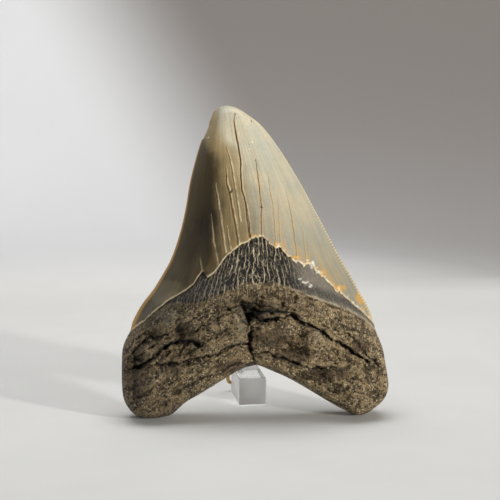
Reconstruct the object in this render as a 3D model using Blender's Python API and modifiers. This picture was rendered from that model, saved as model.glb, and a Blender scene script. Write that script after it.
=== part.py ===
"""Megalodon tooth leaning on a small stand: a clear acrylic foot and a bent brass rod.

The tooth is one natural solid. Its crown, neck band and two-lobed root are lofted over one outline
as a front (tongue side) sheet and a back (lip side) sheet that share their rim. The loft is worked
out in the tooth's own face frame, in millimetres: u to the right, v up the face, w out of the face.
The face frame then leans back and is set on the ground in world metres, +Z up.
"""

import math

import bmesh
import bpy
import numpy as np
from mathutils import Matrix, Vector, noise
from mathutils.bvhtree import BVHTree

MM = 0.001  # metres in a millimetre
GAP = 0.3 * MM  # clearance between touching pieces
OBJECT_NAME = "megalodon_tooth"

# ---- tooth outline (u, v) in mm, read along each side of the face ----
LEFT_EDGE = (
    (-53.8, 3.3), (-56.3, 7.3), (-57.4, 13.5), (-57.3, 26.5), (-56.4, 32.0), (-53.6, 37.5), (-52.2, 42.0),
    (-48.4, 48.8), (-43.4, 55.2), (-39.1, 62.0), (-35.4, 68.8), (-31.8, 79.0), (-29.2, 89.5), (-26.7, 103.0),
    (-22.8, 117.0), (-18.6, 127.0), (-16.3, 132.2),
)
RIGHT_EDGE = (
    (53.0, 4.4), (55.9, 7.6), (57.4, 13.0), (56.3, 21.5), (55.1, 29.0), (52.8, 36.0), (51.8, 40.8),
    (49.5, 47.0), (45.7, 53.8), (42.0, 60.8), (37.9, 67.8), (32.6, 78.0), (27.2, 88.5), (19.8, 102.4),
    (11.2, 116.4), (3.8, 126.0), (-3.9, 132.0),
)
TIP_EDGE = ((-16.3, 132.2), (-13.6, 133.9), (-10.4, 134.4), (-7.2, 133.6), (-3.9, 132.0))
UNDER_EDGE = (
    (-53.8, 3.3), (-50.3, 0.6), (-45.2, 0.0), (-40.0, 0.5), (-35.8, 2.0), (-30.0, 6.8), (-23.7, 10.4),
    (-15.1, 15.5), (-6.5, 20.4), (-2.0, 21.8), (1.3, 22.1), (6.5, 20.0), (14.0, 16.6), (21.5, 12.3),
    (30.1, 7.0), (37.8, 2.6), (43.9, 0.1), (48.5, 1.2), (53.0, 4.4),
)

# ---- tooth sections ----
CROWN_THICK = (  # height v, front dome height at the middle
    (20, 29.0), (45, 28.0), (58, 26.4), (72, 24.0), (86, 21.5), (100, 18.0), (112, 14.2), (122, 10.4),
    (130, 7.2), (136, 5.5),
)
CROWN_FULLNESS = (3.0, 2.1)  # exponent of the dome across, at the base and at the top
CROWN_BACK = 3.4  # bulge of the crown's flat side
ROOT_LOBE = 20.5  # front height over the lobes
ROOT_BOSS = 8.5  # extra height of the boss under the neck
BOSS_MIDDLE, BOSS_REACH = (1.0, 42.0), (26.0, 19.0)  # (u, v) of the boss and how far it reaches
ROOT_BACK = 5.5  # bulge of the root's flat side
ROOT_RIM = 6.0  # how far the root's rim stands in front of the crown's cutting edge
ENAMEL_STEP = 0.9  # height of the enamel's broken ledge over the neck band
NECK_STEP = 0.7  # height of the root's lip over the neck band
BACK_ENAMEL_STEP = 0.6
TIP_ROUND = 0.045  # share of the height over which the tip rounds off
FULLNESS_CHANGE = (40.0, 90.0)  # heights v between which the dome's exponent changes
LOBE_ROUND = 9.0  # how far in from the rim the lobes round over
SHOULDER_ROUND, SHOULDER_POWER = 25.0, 2.2  # the same, and its exponent, for the slacker upper root
SHOULDER_CHANGE = (14.0, 44.0)  # heights v between which the lobes' rounding turns into the shoulders'
ROOT_CHANGE = (-7.0, 3.0)  # heights over the neck line between which the root turns into the crown
RIM_CHANGE = (-9.0, 6.0)  # the same, for the rim
RELIEF_FADE = (0.5, 5.0)  # distances from the rim over which the relief comes in
NECK_SLOPE, ENAMEL_SLOPE = (-1.6, 0.4), (-0.8, 0.8)  # heights about their lines where the steps rise
BACK_FULLNESS = 2.4  # exponent of the flat side's bulge across
BACK_ROUND = 8.0  # how far in from the rim the root's flat side rounds over
BACK_FADE = (1.0, 6.0)
BACK_GRAIN_SHARE = 0.8  # its unevenness beside the front's

# ---- lines across the face (u, v) in mm ----
ENAMEL_LINE = (
    (-54, 37.0), (-48.0, 41.2), (-42.1, 46.7), (-35.7, 51.7), (-28.0, 57.2), (-23.7, 62.8), (-18.0, 62.6),
    (-13.7, 68.8), (-7.7, 73.6), (-2.6, 76.3), (3.2, 75.7), (9.7, 72.8), (15.1, 67.2), (22.4, 65.4),
    (27.1, 61.1), (31.4, 56.6), (40.9, 49.0), (50.7, 39.8), (54, 37.0),
)
NECK_LINE = (
    (-54, 37.0), (-47.7, 41.2), (-43.0, 45.3), (-37.0, 49.5), (-25.8, 49.6), (-15.9, 53.2), (-5.2, 57.6),
    (7.7, 58.1), (15.0, 55.0), (29.2, 49.6), (39.6, 46.0), (47.3, 41.6), (52.0, 37.2), (54, 36.5),
)
BACK_ENAMEL_LINE = ((-54, 38.5), (-40, 44.0), (-20, 50.0), (0, 52.5), (20, 50.0), (40, 44.0), (54, 38.5))

# ---- fissures of the root: reach to each side, depth, then their course (u, v) in mm ----
FISSURES = (
    (2.2, 4.4, ((-5.2, 46.8), (-3.4, 41.5), (-2.9, 36.0), (-2.6, 30.0), (-1.0, 24.0), (0.8, 20.5))),
    (2.1, 3.6, ((-3.4, 45.2), (0.5, 42.4), (7.0, 41.8), (14.5, 43.8), (21.0, 40.6), (28.0, 36.6),
                (36.0, 31.6), (42.5, 27.6), (49.0, 23.2))),
    (1.8, 1.8, ((43.0, 33.8), (49.0, 27.0), (52.5, 24.0))),
    (1.9, 2.0, ((3.0, 27.2), (11.5, 25.0), (18.0, 22.4), (27.0, 19.6))),
    (2.4, 3.4, ((-42.0, 27.8), (-39.0, 31.0), (-35.0, 33.5), (-29.0, 34.6))),
    (2.0, 2.4, ((-54.0, 22.4), (-49.0, 24.8), (-43.5, 27.6))),
    (1.8, 1.5, ((-53.0, 29.0), (-49.5, 33.6), (-45.5, 35.4))),
    (1.9, 1.7, ((-42.5, 23.6), (-34.0, 23.8), (-27.0, 25.8), (-19.0, 28.2), (-11.0, 29.2), (-5.0, 31.4))),
)
ROOT_LUMPS = (  # u, v, reach, height: swellings between the fissures
    (24.0, 29.0, 13.0, 2.6), (6.0, 50.5, 9.0, 1.6), (-30.0, 42.0, 11.0, 2.2), (-24.0, 18.0, 10.0, 1.6),
    (38.0, 14.0, 12.0, 1.8), (-47.0, 14.0, 12.0, 1.6), (-38.0, 40.5, 2.6, 1.8), (40.0, 38.0, 9.0, 1.2),
)
ROOT_GRAIN = 1.1  # height of the root's uneven surface
GRAIN_SCALE = 0.11  # its frequency, per mm

# ---- how the tooth is set down ----
LEAN = math.radians(10.0)  # the face leans back from upright
COLUMNS, ROWS = 64, 58  # faces across and up the front sheet; the back sheet has half of each
SIDE_CROWDING = 0.55  # how strongly columns gather at the rim
ROW_SHARES = (0.0, 0.04, 0.08, 0.14, 0.62, 0.90, 0.96, 1.0)  # shares of the rows ...
ROW_PLACES = (0.0, 0.005, 0.018, 0.048, 0.46, 0.90, 0.975, 1.0)  # ... and of the height that they reach
CURVE_STEPS = 24  # steps between two knots of an edge
RIM_SAMPLES = 60  # points along each edge when distances to the rim are taken
FRONT_SEED, BACK_SEED = 3.0, 9.0

# ---- stand (world, mm; the tooth's lobes touch the ground on the line y = 0) ----
FOOT_WIDTH, FOOT_LENGTH, FOOT_HEIGHT = 12.2, 25.8, 12.0
FOOT_FRONT = (0.0, 19.6)  # middle of the foot's front edge on the ground
FOOT_TURN = math.radians(4.5)
FOOT_BEVEL = 0.5
ROD_RADIUS = 0.8  # sixteenth-inch rod
ROD_HEIGHT = 3.5  # axis of the rod where it leaves the foot
ROD_OFFSET = -2.4  # across the foot's end, from its middle
ROD_SOCKET = 5.0  # depth of its drilled hole
ROD_BACK_RUN = 3.2  # how far it runs straight back before it turns
ROD_SIDE = -9.4  # x of its rise
ROD_REST_HEIGHT = 57.0  # height at which it bears on the tooth
ROD_REST_END = 13.0  # x where its level rest ends
ROD_BEND = 2.0  # radius of its bends


def clear_scene():
    """Empties the open scene."""
    for thing in list(bpy.data.objects):
        bpy.data.objects.remove(thing, do_unlink=True)


def new_collection(name):
    collection = bpy.data.collections.new(name)
    bpy.context.scene.collection.children.link(collection)
    return collection


def new_material(name, colour, roughness, metallic=0.0, transmission=0.0, ior=1.5):
    material = bpy.data.materials.new(name)
    material.use_nodes = True
    shader = material.node_tree.nodes["Principled BSDF"]
    shader.inputs["Base Color"].default_value = (*colour, 1.0)
    shader.inputs["Roughness"].default_value = roughness
    shader.inputs["Metallic"].default_value = metallic
    shader.inputs["Transmission Weight"].default_value = transmission
    shader.inputs["IOR"].default_value = ior
    return material


# ---- small numeric tools ----


def smoothstep(low, high, x):
    x = np.clip((x - low) / (high - low), 0.0, 1.0)
    return x * x * (3.0 - 2.0 * x)


def spline_through(points, shares):
    """Points of a Catmull-Rom curve through points, at shares (0 to 1) of its length."""
    knots = np.array(points, float)
    padded = np.vstack([2 * knots[0] - knots[1], knots, 2 * knots[-1] - knots[-2]])
    curve = []
    for a, b, c, d in zip(padded, padded[1:], padded[2:], padded[3:]):
        x = np.linspace(0.0, 1.0, CURVE_STEPS, endpoint=False)[:, None]
        bend, twist = 2 * a - 5 * b + 4 * c - d, 3 * b - a - 3 * c + d
        curve.append(0.5 * (2 * b + (c - a) * x + bend * x**2 + twist * x**3))
    curve = np.vstack([*curve, knots[-1:]])
    steps = np.linalg.norm(np.diff(curve, axis=0), axis=1)
    lengths = np.concatenate([[0.0], np.cumsum(steps)]) / steps.sum()
    return np.stack([np.interp(shares, lengths, curve[:, axis]) for axis in (0, 1)], axis=-1)


def height_of_line(line, u):
    """v of a line across the face at each u."""
    knots = np.array(line, float)
    return np.interp(u, knots[:, 0], knots[:, 1])


def distance_to_line(line, u, v):
    """Distance from each (u, v) to a broken line."""
    nearest = np.full(u.shape, np.inf)
    for (au, av), (bu, bv) in zip(line, line[1:]):
        du, dv = bu - au, bv - av
        share = np.clip(((u - au) * du + (v - av) * dv) / (du * du + dv * dv), 0.0, 1.0)
        nearest = np.minimum(nearest, np.hypot(u - au - share * du, v - av - share * dv))
    return nearest


def grain(u, v, scale, seed):
    """Smooth unevenness between about -1 and 1."""
    places = [Vector((a * scale, b * scale, seed)) for a, b in zip(u.flat, v.flat)]
    return np.array([noise.fractal(place, 1.0, 2.0, 3) for place in places]).reshape(u.shape)


# ---- the tooth ----


def face_grid(columns, rows):
    """Shares across and up, and the (u, v) that a Coons patch over the outline gives them."""
    even = np.linspace(0.0, 1.0, columns + 1)
    across = (1 - SIDE_CROWDING) * even + SIDE_CROWDING * 0.5 * (1 - np.cos(np.pi * even))
    up = np.interp(np.linspace(0.0, 1.0, rows + 1), ROW_SHARES, ROW_PLACES)
    left, right = spline_through(LEFT_EDGE, up), spline_through(RIGHT_EDGE, up)
    under, tip = spline_through(UNDER_EDGE, across), spline_through(TIP_EDGE, across)
    s, t = across[:, None, None], up[None, :, None]
    patch = (1 - t) * under[:, None] + t * tip[:, None] + (1 - s) * left[None] + s * right[None]
    patch -= (1 - s) * ((1 - t) * under[0] + t * tip[0]) + s * ((1 - t) * under[-1] + t * tip[-1])
    s, t = np.broadcast_arrays(across[:, None], up[None, :])
    return s, t, patch[..., 0], patch[..., 1]


def rim_distance(u, v):
    """Distance from each point of the face to the root's outline."""
    shares = np.linspace(0.0, 1.0, RIM_SAMPLES)
    outline = [spline_through(edge, shares) for edge in (LEFT_EDGE, UNDER_EDGE, RIGHT_EDGE)]
    return np.minimum.reduce([distance_to_line(edge, u, v) for edge in outline])


def round_over(distance, radius):
    """Rises from 0 at the rim to 1 at radius, as a quarter circle."""
    return np.sqrt(1.0 - (1.0 - np.clip(distance / radius, 0.0, 1.0)) ** 2)


def rootness(u, v, line):
    """1 on the root, 0 on the crown, turning over at the line between them."""
    return 1.0 - smoothstep(*ROOT_CHANGE, v - height_of_line(line, u))


def front_heights(s, t, u, v):
    """w of the tongue side, measured from the rim."""
    side = np.abs(2.0 * s - 1.0)
    low, high = CROWN_FULLNESS
    fullness = low + (high - low) * smoothstep(*FULLNESS_CHANGE, v)
    middle = np.interp(v, *zip(*CROWN_THICK))
    crown = middle * (1.0 - side**fullness) * round_over(1.0 - t, TIP_ROUND)
    rim = rim_distance(u, v)
    (boss_u, boss_v), (reach_u, reach_v) = BOSS_MIDDLE, BOSS_REACH
    root = ROOT_LOBE + ROOT_BOSS * np.exp(-(((u - boss_u) / reach_u) ** 2) - ((v - boss_v) / reach_v) ** 2)
    for centre_u, centre_v, reach, height in ROOT_LUMPS:
        root = root + height * np.exp(-((u - centre_u) ** 2 + (v - centre_v) ** 2) / reach**2)
    lower = round_over(rim, LOBE_ROUND)
    upper = 1.0 - (1.0 - np.clip(rim / SHOULDER_ROUND, 0.0, 1.0)) ** SHOULDER_POWER
    root = (root - ROOT_RIM) * (lower + (upper - lower) * smoothstep(*SHOULDER_CHANGE, v))
    share = rootness(u, v, NECK_LINE)
    relief = share * ROOT_GRAIN * grain(u, v, GRAIN_SCALE, FRONT_SEED)
    above_neck, above_enamel = v - height_of_line(NECK_LINE, u), v - height_of_line(ENAMEL_LINE, u)
    relief = relief - NECK_STEP * smoothstep(*NECK_SLOPE, above_neck)
    relief = relief + ENAMEL_STEP * smoothstep(*ENAMEL_SLOPE, above_enamel)
    for reach, depth, course in FISSURES:
        relief = relief - depth * np.exp(-((distance_to_line(course, u, v) / reach) ** 2))
    return (1.0 - share) * crown + share * root + relief * smoothstep(*RELIEF_FADE, rim)


def back_heights(s, t, u, v):
    """Depth of the lip side behind the rim."""
    side = np.abs(2.0 * s - 1.0)
    crown = CROWN_BACK * (1.0 - side**BACK_FULLNESS) * round_over(1.0 - t, TIP_ROUND)
    rim = rim_distance(u, v)
    root = (ROOT_BACK + ROOT_RIM) * round_over(rim, BACK_ROUND)
    share = rootness(u, v, BACK_ENAMEL_LINE)
    relief = share * BACK_GRAIN_SHARE * ROOT_GRAIN * grain(u, v, GRAIN_SCALE, BACK_SEED)
    relief = relief + BACK_ENAMEL_STEP * smoothstep(*ENAMEL_SLOPE, v - height_of_line(BACK_ENAMEL_LINE, u))
    return (1.0 - share) * crown + share * root + relief * smoothstep(*BACK_FADE, rim)


def rim_places(u, v):
    """w of the rim: the crown's cutting edge lies at 0 and the root's rim stands forward."""
    return ROOT_RIM * (1.0 - smoothstep(*RIM_CHANGE, v - height_of_line(NECK_LINE, u)))


def set_down(u, v, w):
    """World metres of points of the leaning face frame, before they are put on the ground."""
    y = v * math.sin(LEAN) - w * math.cos(LEAN)
    z = v * math.cos(LEAN) + w * math.sin(LEAN)
    return np.stack([u, y, z], axis=-1) * MM


def ground_contact(front, back):
    """The middle of the line that joins the lowest points of the two lobes."""
    points = np.concatenate([front.reshape(-1, 3), back.reshape(-1, 3)])
    lobes = points[points[:, 0] < 0], points[points[:, 0] > 0]
    lowest = [lobe[lobe[:, 2].argmin()] for lobe in lobes]
    return np.array((0.0, (lowest[0][1] + lowest[1][1]) / 2, points[:, 2].min()))


def build_tooth(collection):
    """One closed solid: the front sheet, the half-density back sheet and the rim that they share."""
    s, t, u, v = face_grid(COLUMNS, ROWS)
    rim = rim_places(u, v)
    front = set_down(u, v, rim + front_heights(s, t, u, v))
    back = set_down(u, v, rim - back_heights(s, t, u, v))
    lift = -ground_contact(front, back)
    body = bmesh.new()
    on_rim = np.zeros(u.shape, bool)
    on_rim[[0, -1], :] = on_rim[:, [0, -1]] = True
    front_verts = {}
    back_verts = {}
    for i, j in np.ndindex(u.shape):
        front_verts[i, j] = body.verts.new(front[i, j] + lift)
        if on_rim[i, j]:
            back_verts[i, j] = front_verts[i, j]
        elif i % 2 == 0 and j % 2 == 0:
            back_verts[i, j] = body.verts.new(back[i, j] + lift)
    for i in range(COLUMNS):
        for j in range(ROWS):
            body.faces.new([front_verts[k] for k in ((i, j), (i + 1, j), (i + 1, j + 1), (i, j + 1))])
    for i in range(0, COLUMNS, 2):
        for j in range(0, ROWS, 2):
            steps = ((0, 0), (0, 1), (0, 2), (1, 2), (2, 2), (2, 1), (2, 0), (1, 0))
            around = [(i + di, j + dj) for di, dj in steps]
            body.faces.new([back_verts[k] for k in around if k in back_verts])
    bmesh.ops.triangulate(body, faces=body.faces[:])
    bmesh.ops.recalc_face_normals(body, faces=body.faces[:])
    mesh = bpy.data.meshes.new("tooth")
    body.to_mesh(mesh)
    body.free()
    mesh.shade_smooth()
    mesh.materials.append(new_material("fossil_enamel_and_root", (0.36, 0.32, 0.24), 0.5))
    tooth = bpy.data.objects.new("tooth", mesh)
    collection.objects.link(tooth)
    return tooth


# ---- the stand ----


def build_foot(collection, cutters):
    """A bar of clear acrylic that lies on the ground, drilled in its back end for the rod."""
    bpy.ops.mesh.primitive_cube_add(size=1.0)
    foot = bpy.context.object
    foot.name = "stand_foot"
    size = Matrix.Diagonal((FOOT_WIDTH * MM, FOOT_LENGTH * MM, FOOT_HEIGHT * MM, 1.0))
    to_front_edge = Matrix.Translation((0.0, FOOT_LENGTH * MM / 2, FOOT_HEIGHT * MM / 2))
    foot.data.transform(to_front_edge @ size)
    foot.location = (FOOT_FRONT[0] * MM, FOOT_FRONT[1] * MM, 0.0)
    foot.rotation_euler.z = FOOT_TURN
    clear = new_material("clear_acrylic", (0.95, 0.96, 0.95), 0.04, transmission=1.0, ior=1.49)
    foot.data.materials.append(clear)
    bevel = foot.modifiers.new("polished edges", "BEVEL")
    bevel.width = FOOT_BEVEL * MM
    bevel.segments = 2
    past_end = 1.0 * MM
    bpy.ops.mesh.primitive_cylinder_add(
        radius=ROD_RADIUS * MM + GAP, depth=ROD_SOCKET * MM + past_end, vertices=24, end_fill_type="NGON"
    )
    drill = bpy.context.object
    drill.name = "rod_drill"
    drill.parent = foot
    drill.rotation_euler.x = math.radians(90.0)
    middle = (FOOT_LENGTH - ROD_SOCKET / 2) * MM + past_end / 2
    drill.location = (ROD_OFFSET * MM, middle, ROD_HEIGHT * MM)
    drill.hide_render = True
    drill.display_type = "WIRE"
    bore = foot.modifiers.new("rod socket", "BOOLEAN")
    bore.operation = "DIFFERENCE"
    bore.object = drill
    move_to(foot, collection)
    move_to(drill, cutters)
    return foot


def move_to(thing, collection):
    """Takes an object out of every collection it is in and puts it in one."""
    for holder in list(thing.users_collection):
        holder.objects.unlink(thing)
    collection.objects.link(thing)


def rounded_path(corners, radius, steps=6):
    """A broken line whose corners are rounded with this radius."""
    path = [corners[0]]
    for before, corner, after in zip(corners, corners[1:], corners[2:]):
        back, ahead = (before - corner).normalized(), (after - corner).normalized()
        half_angle = back.angle(ahead) / 2
        inset = radius / math.tan(half_angle)
        centre = corner + (back + ahead).normalized() * radius / math.sin(half_angle)
        start, end = corner + back * inset - centre, corner + ahead * inset - centre
        sweep = start.angle(end)
        for step in range(steps + 1):
            share = step / steps
            weights = math.sin((1 - share) * sweep), math.sin(share * sweep)
            path.append(centre + (start * weights[0] + end * weights[1]) / math.sin(sweep))
    return [*path, corners[-1]]


def rest_behind_tooth(tooth, height):
    """The y of the middle of the rod's level rest, where its round side just clears the tooth's back."""
    mesh = tooth.data
    tree = BVHTree.FromPolygons([v.co for v in mesh.vertices], [p.vertices[:] for p in mesh.polygons])
    places = np.linspace(ROD_SIDE, ROD_REST_END, 24) * MM
    forward = Vector((0.0, -1.0, 0.0))
    reach = ROD_RADIUS * MM + GAP
    levels = [(reach * math.sin(turn), reach * math.cos(turn)) for turn in np.linspace(-1.5, 1.5, 25)]
    return max(tree.ray_cast(Vector((x, 1.0, height + up)), forward)[0].y + out for x in places for up, out in levels)


def build_rod(collection, foot, tooth):
    """A brass rod bent from the foot's end, up and forward to a level rest on the tooth's back."""
    bpy.context.view_layer.update()
    end = FOOT_LENGTH * MM
    start = foot.matrix_world @ Vector((ROD_OFFSET * MM, end - ROD_SOCKET * MM + GAP, ROD_HEIGHT * MM))
    turn = foot.matrix_world @ Vector((ROD_OFFSET * MM, end + ROD_BACK_RUN * MM, ROD_HEIGHT * MM))
    rest_y = rest_behind_tooth(tooth, ROD_REST_HEIGHT * MM)
    rest_z = ROD_REST_HEIGHT * MM
    corners = [
        start,
        turn,
        Vector((ROD_SIDE * MM, turn.y, ROD_HEIGHT * MM)),
        Vector((ROD_SIDE * MM, rest_y, rest_z)),
        Vector((ROD_REST_END * MM, rest_y, rest_z)),
    ]
    curve = bpy.data.curves.new("stand_rod", "CURVE")
    curve.dimensions = "3D"
    curve.bevel_depth = ROD_RADIUS * MM
    curve.bevel_resolution = 3
    curve.use_fill_caps = True
    path = rounded_path(corners, ROD_BEND * MM)
    spline = curve.splines.new("POLY")
    spline.points.add(len(path) - 1)
    for point, place in zip(spline.points, path):
        point.co = (*place, 1.0)
    curve.materials.append(new_material("brass", (0.62, 0.47, 0.26), 0.35, metallic=1.0))
    rod = bpy.data.objects.new("stand_rod", curve)
    collection.objects.link(rod)
    return rod


def centre_over_origin(parts, collection):
    """Parents the parts to an empty that sets the middle of their base on the world's origin."""
    bpy.context.view_layer.update()
    corners = [part.matrix_world @ Vector(corner) for part in parts for corner in part.bound_box]
    holder = bpy.data.objects.new("set_down", None)
    collection.objects.link(holder)
    for part in parts:
        part.parent = holder
    middles = [(min(c[axis] for c in corners) + max(c[axis] for c in corners)) / 2 for axis in (0, 1)]
    holder.location = (-middles[0], -middles[1], 0.0)
    bpy.context.view_layer.update()


def main():
    clear_scene()
    parts = new_collection(OBJECT_NAME)
    cutters = new_collection("cutters")
    tooth = build_tooth(parts)
    foot = build_foot(parts, cutters)
    rod = build_rod(parts, foot, tooth)
    centre_over_origin((tooth, foot, rod), parts)


main()
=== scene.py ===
"""Looks of a fossil megalodon tooth and of the small stand that props it up.

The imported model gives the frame. The tooth's fine surface stands for its plain solid: a crown of
cracked enamel over a dark neck band and a rough two-lobed root. The clear foot keeps its solid and
gets its finish, and the bent brass rod is drawn again as a smooth tube.
"""

import logging
import math
from collections.abc import Sequence
from dataclasses import dataclass, field
from enum import Enum, IntEnum

import bmesh
import bpy
import numpy as np
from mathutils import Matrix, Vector, noise

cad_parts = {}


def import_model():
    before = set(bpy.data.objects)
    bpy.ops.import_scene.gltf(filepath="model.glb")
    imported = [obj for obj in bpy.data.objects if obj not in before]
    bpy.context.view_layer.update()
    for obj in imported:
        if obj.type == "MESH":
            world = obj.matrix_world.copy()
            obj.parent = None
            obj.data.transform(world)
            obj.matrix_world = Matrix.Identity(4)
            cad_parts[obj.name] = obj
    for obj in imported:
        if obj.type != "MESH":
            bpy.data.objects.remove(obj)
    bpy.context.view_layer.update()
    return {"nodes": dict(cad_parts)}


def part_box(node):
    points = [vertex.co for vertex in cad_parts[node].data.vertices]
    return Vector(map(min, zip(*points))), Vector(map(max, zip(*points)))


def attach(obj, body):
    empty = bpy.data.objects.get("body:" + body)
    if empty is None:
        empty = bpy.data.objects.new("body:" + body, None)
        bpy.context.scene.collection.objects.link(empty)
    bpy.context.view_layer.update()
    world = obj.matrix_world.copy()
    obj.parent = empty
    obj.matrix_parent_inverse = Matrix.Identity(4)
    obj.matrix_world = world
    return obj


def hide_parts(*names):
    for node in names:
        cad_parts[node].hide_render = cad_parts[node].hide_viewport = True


LOG = logging.getLogger("tooth")
MM = 0.001  # metres in a millimetre
BODY = "root"

FRONT_SWELL, BACK_SWELL = 3.0, 9.0  # which slice of the noise swells each side, as on the plain solid
STAIN_REACH = 9.0  # how far stains reach up from the enamel's edge, in mm
FULL_ACROSS, FULL_UP = 100.0, 130.0  # what the finish reads at the right edge and at the tip

Grid = np.ndarray  # a number for each place on a sheet
Line = Sequence[tuple[float, float]]  # a course across the tooth's face, (u, v) in mm
Colour = tuple[float, float, float]
Socket = bpy.types.NodeSocket


class Seed(IntEnum):
    """Gives each unevenness a pattern of its own."""

    WARP_ACROSS = 11
    WARP_UP = 23
    SHAKE_ACROSS = 27
    SHAKE_UP = 28
    FISSURE_WIDTH = 29
    SWELLINGS = 31
    FINE_BONE = 37
    BILLOWS = 39
    STRATA = 41
    LAYERS = 43
    BROKEN = 45
    FIBRES = 47
    CREASES = 49
    NECK_EDGE = 51
    SEAM = 53
    NECK_HOLLOWS = 55
    RIDGES = 57
    ENAMEL_EDGE = 61
    BROAD_BREAKS = 62
    FINE_BREAKS = 64
    FINE_EDGE = 67
    FLUTES = 71
    CRACK_WANDER = 73
    CRACK_PATCHES = 79
    BACK_EDGE = 81
    BACK_BONE = 83
    BACK_FINE = 87
    BACK_PITS = 91
    BACK_FLUTES = 95
    SERRATION_SIZE = 101
    SERRATION_WEAR = 103
    GREY_PATCHES = 111
    SPOTS = 121
    FLAKES = 131
    BURNT = 133
    EDGE_WIDTH = 135
    BROWN_PATCHES = 141


# ---- small numeric tools -------------------------------------------------------------------------


def smoothstep(low: float, high: float, x: Grid) -> Grid:
    """Rises smoothly from 0 at low to 1 at high.

    Args:
        low: Where the rise starts.
        high: Where the rise ends.
        x: Places to read.

    Returns:
        The height of the step at each place.
    """
    x = np.clip((x - low) / (high - low), 0.0, 1.0)
    return x * x * (3.0 - 2.0 * x)


def bell(distance: Grid, reach: float) -> Grid:
    """A bell curve that is 1 at no distance and falls away over reach."""
    return np.exp(-((distance / reach) ** 2))


def round_over(distance: Grid, radius: float) -> Grid:
    """Rises from 0 at the rim to 1 at radius, as a quarter circle."""
    return np.sqrt(1.0 - (1.0 - np.clip(distance / radius, 0.0, 1.0)) ** 2)


def spline_through(points: Line, shares: Grid) -> Grid:
    """Reads a Catmull-Rom curve.

    Args:
        points: The points that the curve passes through.
        shares: Places along it, from 0 to 1 of its length.

    Returns:
        One (u, v) for each share.
    """
    knots = np.array(points, float)
    padded = np.vstack([2 * knots[0] - knots[1], knots, 2 * knots[-1] - knots[-2]])
    curve = []
    for a, b, c, d in zip(padded, padded[1:], padded[2:], padded[3:]):
        x = np.linspace(0.0, 1.0, 24, endpoint=False)[:, None]
        bend, twist = 2 * a - 5 * b + 4 * c - d, 3 * b - a - 3 * c + d
        curve.append(0.5 * (2 * b + (c - a) * x + bend * x**2 + twist * x**3))
    joined = np.vstack([*curve, knots[-1:]])
    steps = np.linalg.norm(np.diff(joined, axis=0), axis=1)
    lengths = np.concatenate([[0.0], np.cumsum(steps)]) / steps.sum()
    return np.stack([np.interp(shares, lengths, joined[:, axis]) for axis in (0, 1)], axis=-1)


def height_of_line(line: Line, u: Grid) -> Grid:
    """v of a line across the face at each u."""
    knots = np.array(line, float)
    return np.interp(u, knots[:, 0], knots[:, 1])


def distance_to_line(line: Line, u: Grid, v: Grid) -> Grid:
    """Distance from each (u, v) to a broken line.

    Args:
        line: The line's corners.
        u: Places across, in mm.
        v: Places up, in mm.

    Returns:
        The distances in mm.
    """
    nearest = np.full(u.shape, np.inf)
    for (au, av), (bu, bv) in zip(line, line[1:]):
        du, dv = bu - au, bv - av
        share = np.clip(((u - au) * du + (v - av) * dv) / (du * du + dv * dv), 0.0, 1.0)
        nearest = np.minimum(nearest, np.hypot(u - au - share * du, v - av - share * dv))
    return nearest


def eased_shares(count: int, start: tuple[int, float], end: tuple[int, float]) -> Grid:
    """Even shares from 0 to 1 whose ends are crowded together, to draw a rounded rim.

    Args:
        count: Number of steps.
        start: How many steps are crowded at 0, and the share that they cover.
        end: The same at 1.

    Returns:
        count + 1 rising shares.
    """
    at = np.arange(count + 1, dtype=float)
    middle = np.interp(at, (start[0], count - end[0]), (start[1], 1.0 - end[1]))
    low = start[1] * (at / start[0]) ** 2
    high = 1.0 - end[1] * ((count - at) / end[0]) ** 2
    return np.where(at < start[0], low, np.where(at > count - end[0], high, middle))


def lattice_noise(x: Grid, y: Grid, seed: int) -> Grid:
    """Gradient noise between about -1 and 1.

    Args:
        x: Places across, one cell a unit.
        y: Places up, one cell a unit.
        seed: Picks another pattern.

    Returns:
        The noise at each place.
    """
    cell_x, cell_y = np.floor(x), np.floor(y)
    in_x, in_y = x - cell_x, y - cell_y

    def corner(dx: int, dy: int) -> Grid:
        """What the cell's corner at (dx, dy) adds.

        Args:
            dx: Its step across from the cell's low corner.
            dy: Its step up.

        Returns:
            Its share of the noise.
        """
        mixed = np.sin((cell_x + dx) * 127.1 + (cell_y + dy) * 311.7 + seed * 74.7) * 43758.5453
        angle = (mixed - np.floor(mixed)) * 2.0 * np.pi
        return np.cos(angle) * (in_x - dx) + np.sin(angle) * (in_y - dy)

    fade_x = in_x**3 * (in_x * (in_x * 6 - 15) + 10)
    fade_y = in_y**3 * (in_y * (in_y * 6 - 15) + 10)
    low = corner(0, 0) + (corner(1, 0) - corner(0, 0)) * fade_x
    high = corner(0, 1) + (corner(1, 1) - corner(0, 1)) * fade_x
    return (low + (high - low) * fade_y) * 1.5


def rough(u: Grid, v: Grid, pitch: float, octaves: int, seed: int) -> Grid:
    """Rough unevenness: noise of this pitch in mm and of finer pitches over it.

    Args:
        u: Places across, in mm.
        v: Places up, in mm.
        pitch: Size of the broadest cells, in mm.
        octaves: How many pitches, each half the last.
        seed: Picks another pattern.

    Returns:
        The noise, between about -1 and 1.
    """
    total, weight = np.zeros(u.shape), 0.0
    for octave in range(octaves):
        gain = 0.55**octave
        total += gain * lattice_noise(u / pitch * 2**octave, v / pitch * 2**octave, seed + octave)
        weight += gain
    return total / weight


def local_mean(values: Grid, reach: int) -> Grid:
    """The mean of each value's neighbours, this many steps to each side of it.

    Args:
        values: The values.
        reach: How many steps.

    Returns:
        The means.
    """
    for axis in (0, 1):
        width = [(0, 0), (0, 0)]
        width[axis] = (reach + 1, reach)
        total = np.cumsum(np.pad(values, width, mode="edge"), axis=axis)
        size = 2 * reach + 1
        count = values.shape[axis]
        high = np.take(total, np.arange(size, size + count), axis=axis)
        values = (high - np.take(total, np.arange(count), axis=axis)) / size
    return values


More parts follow.
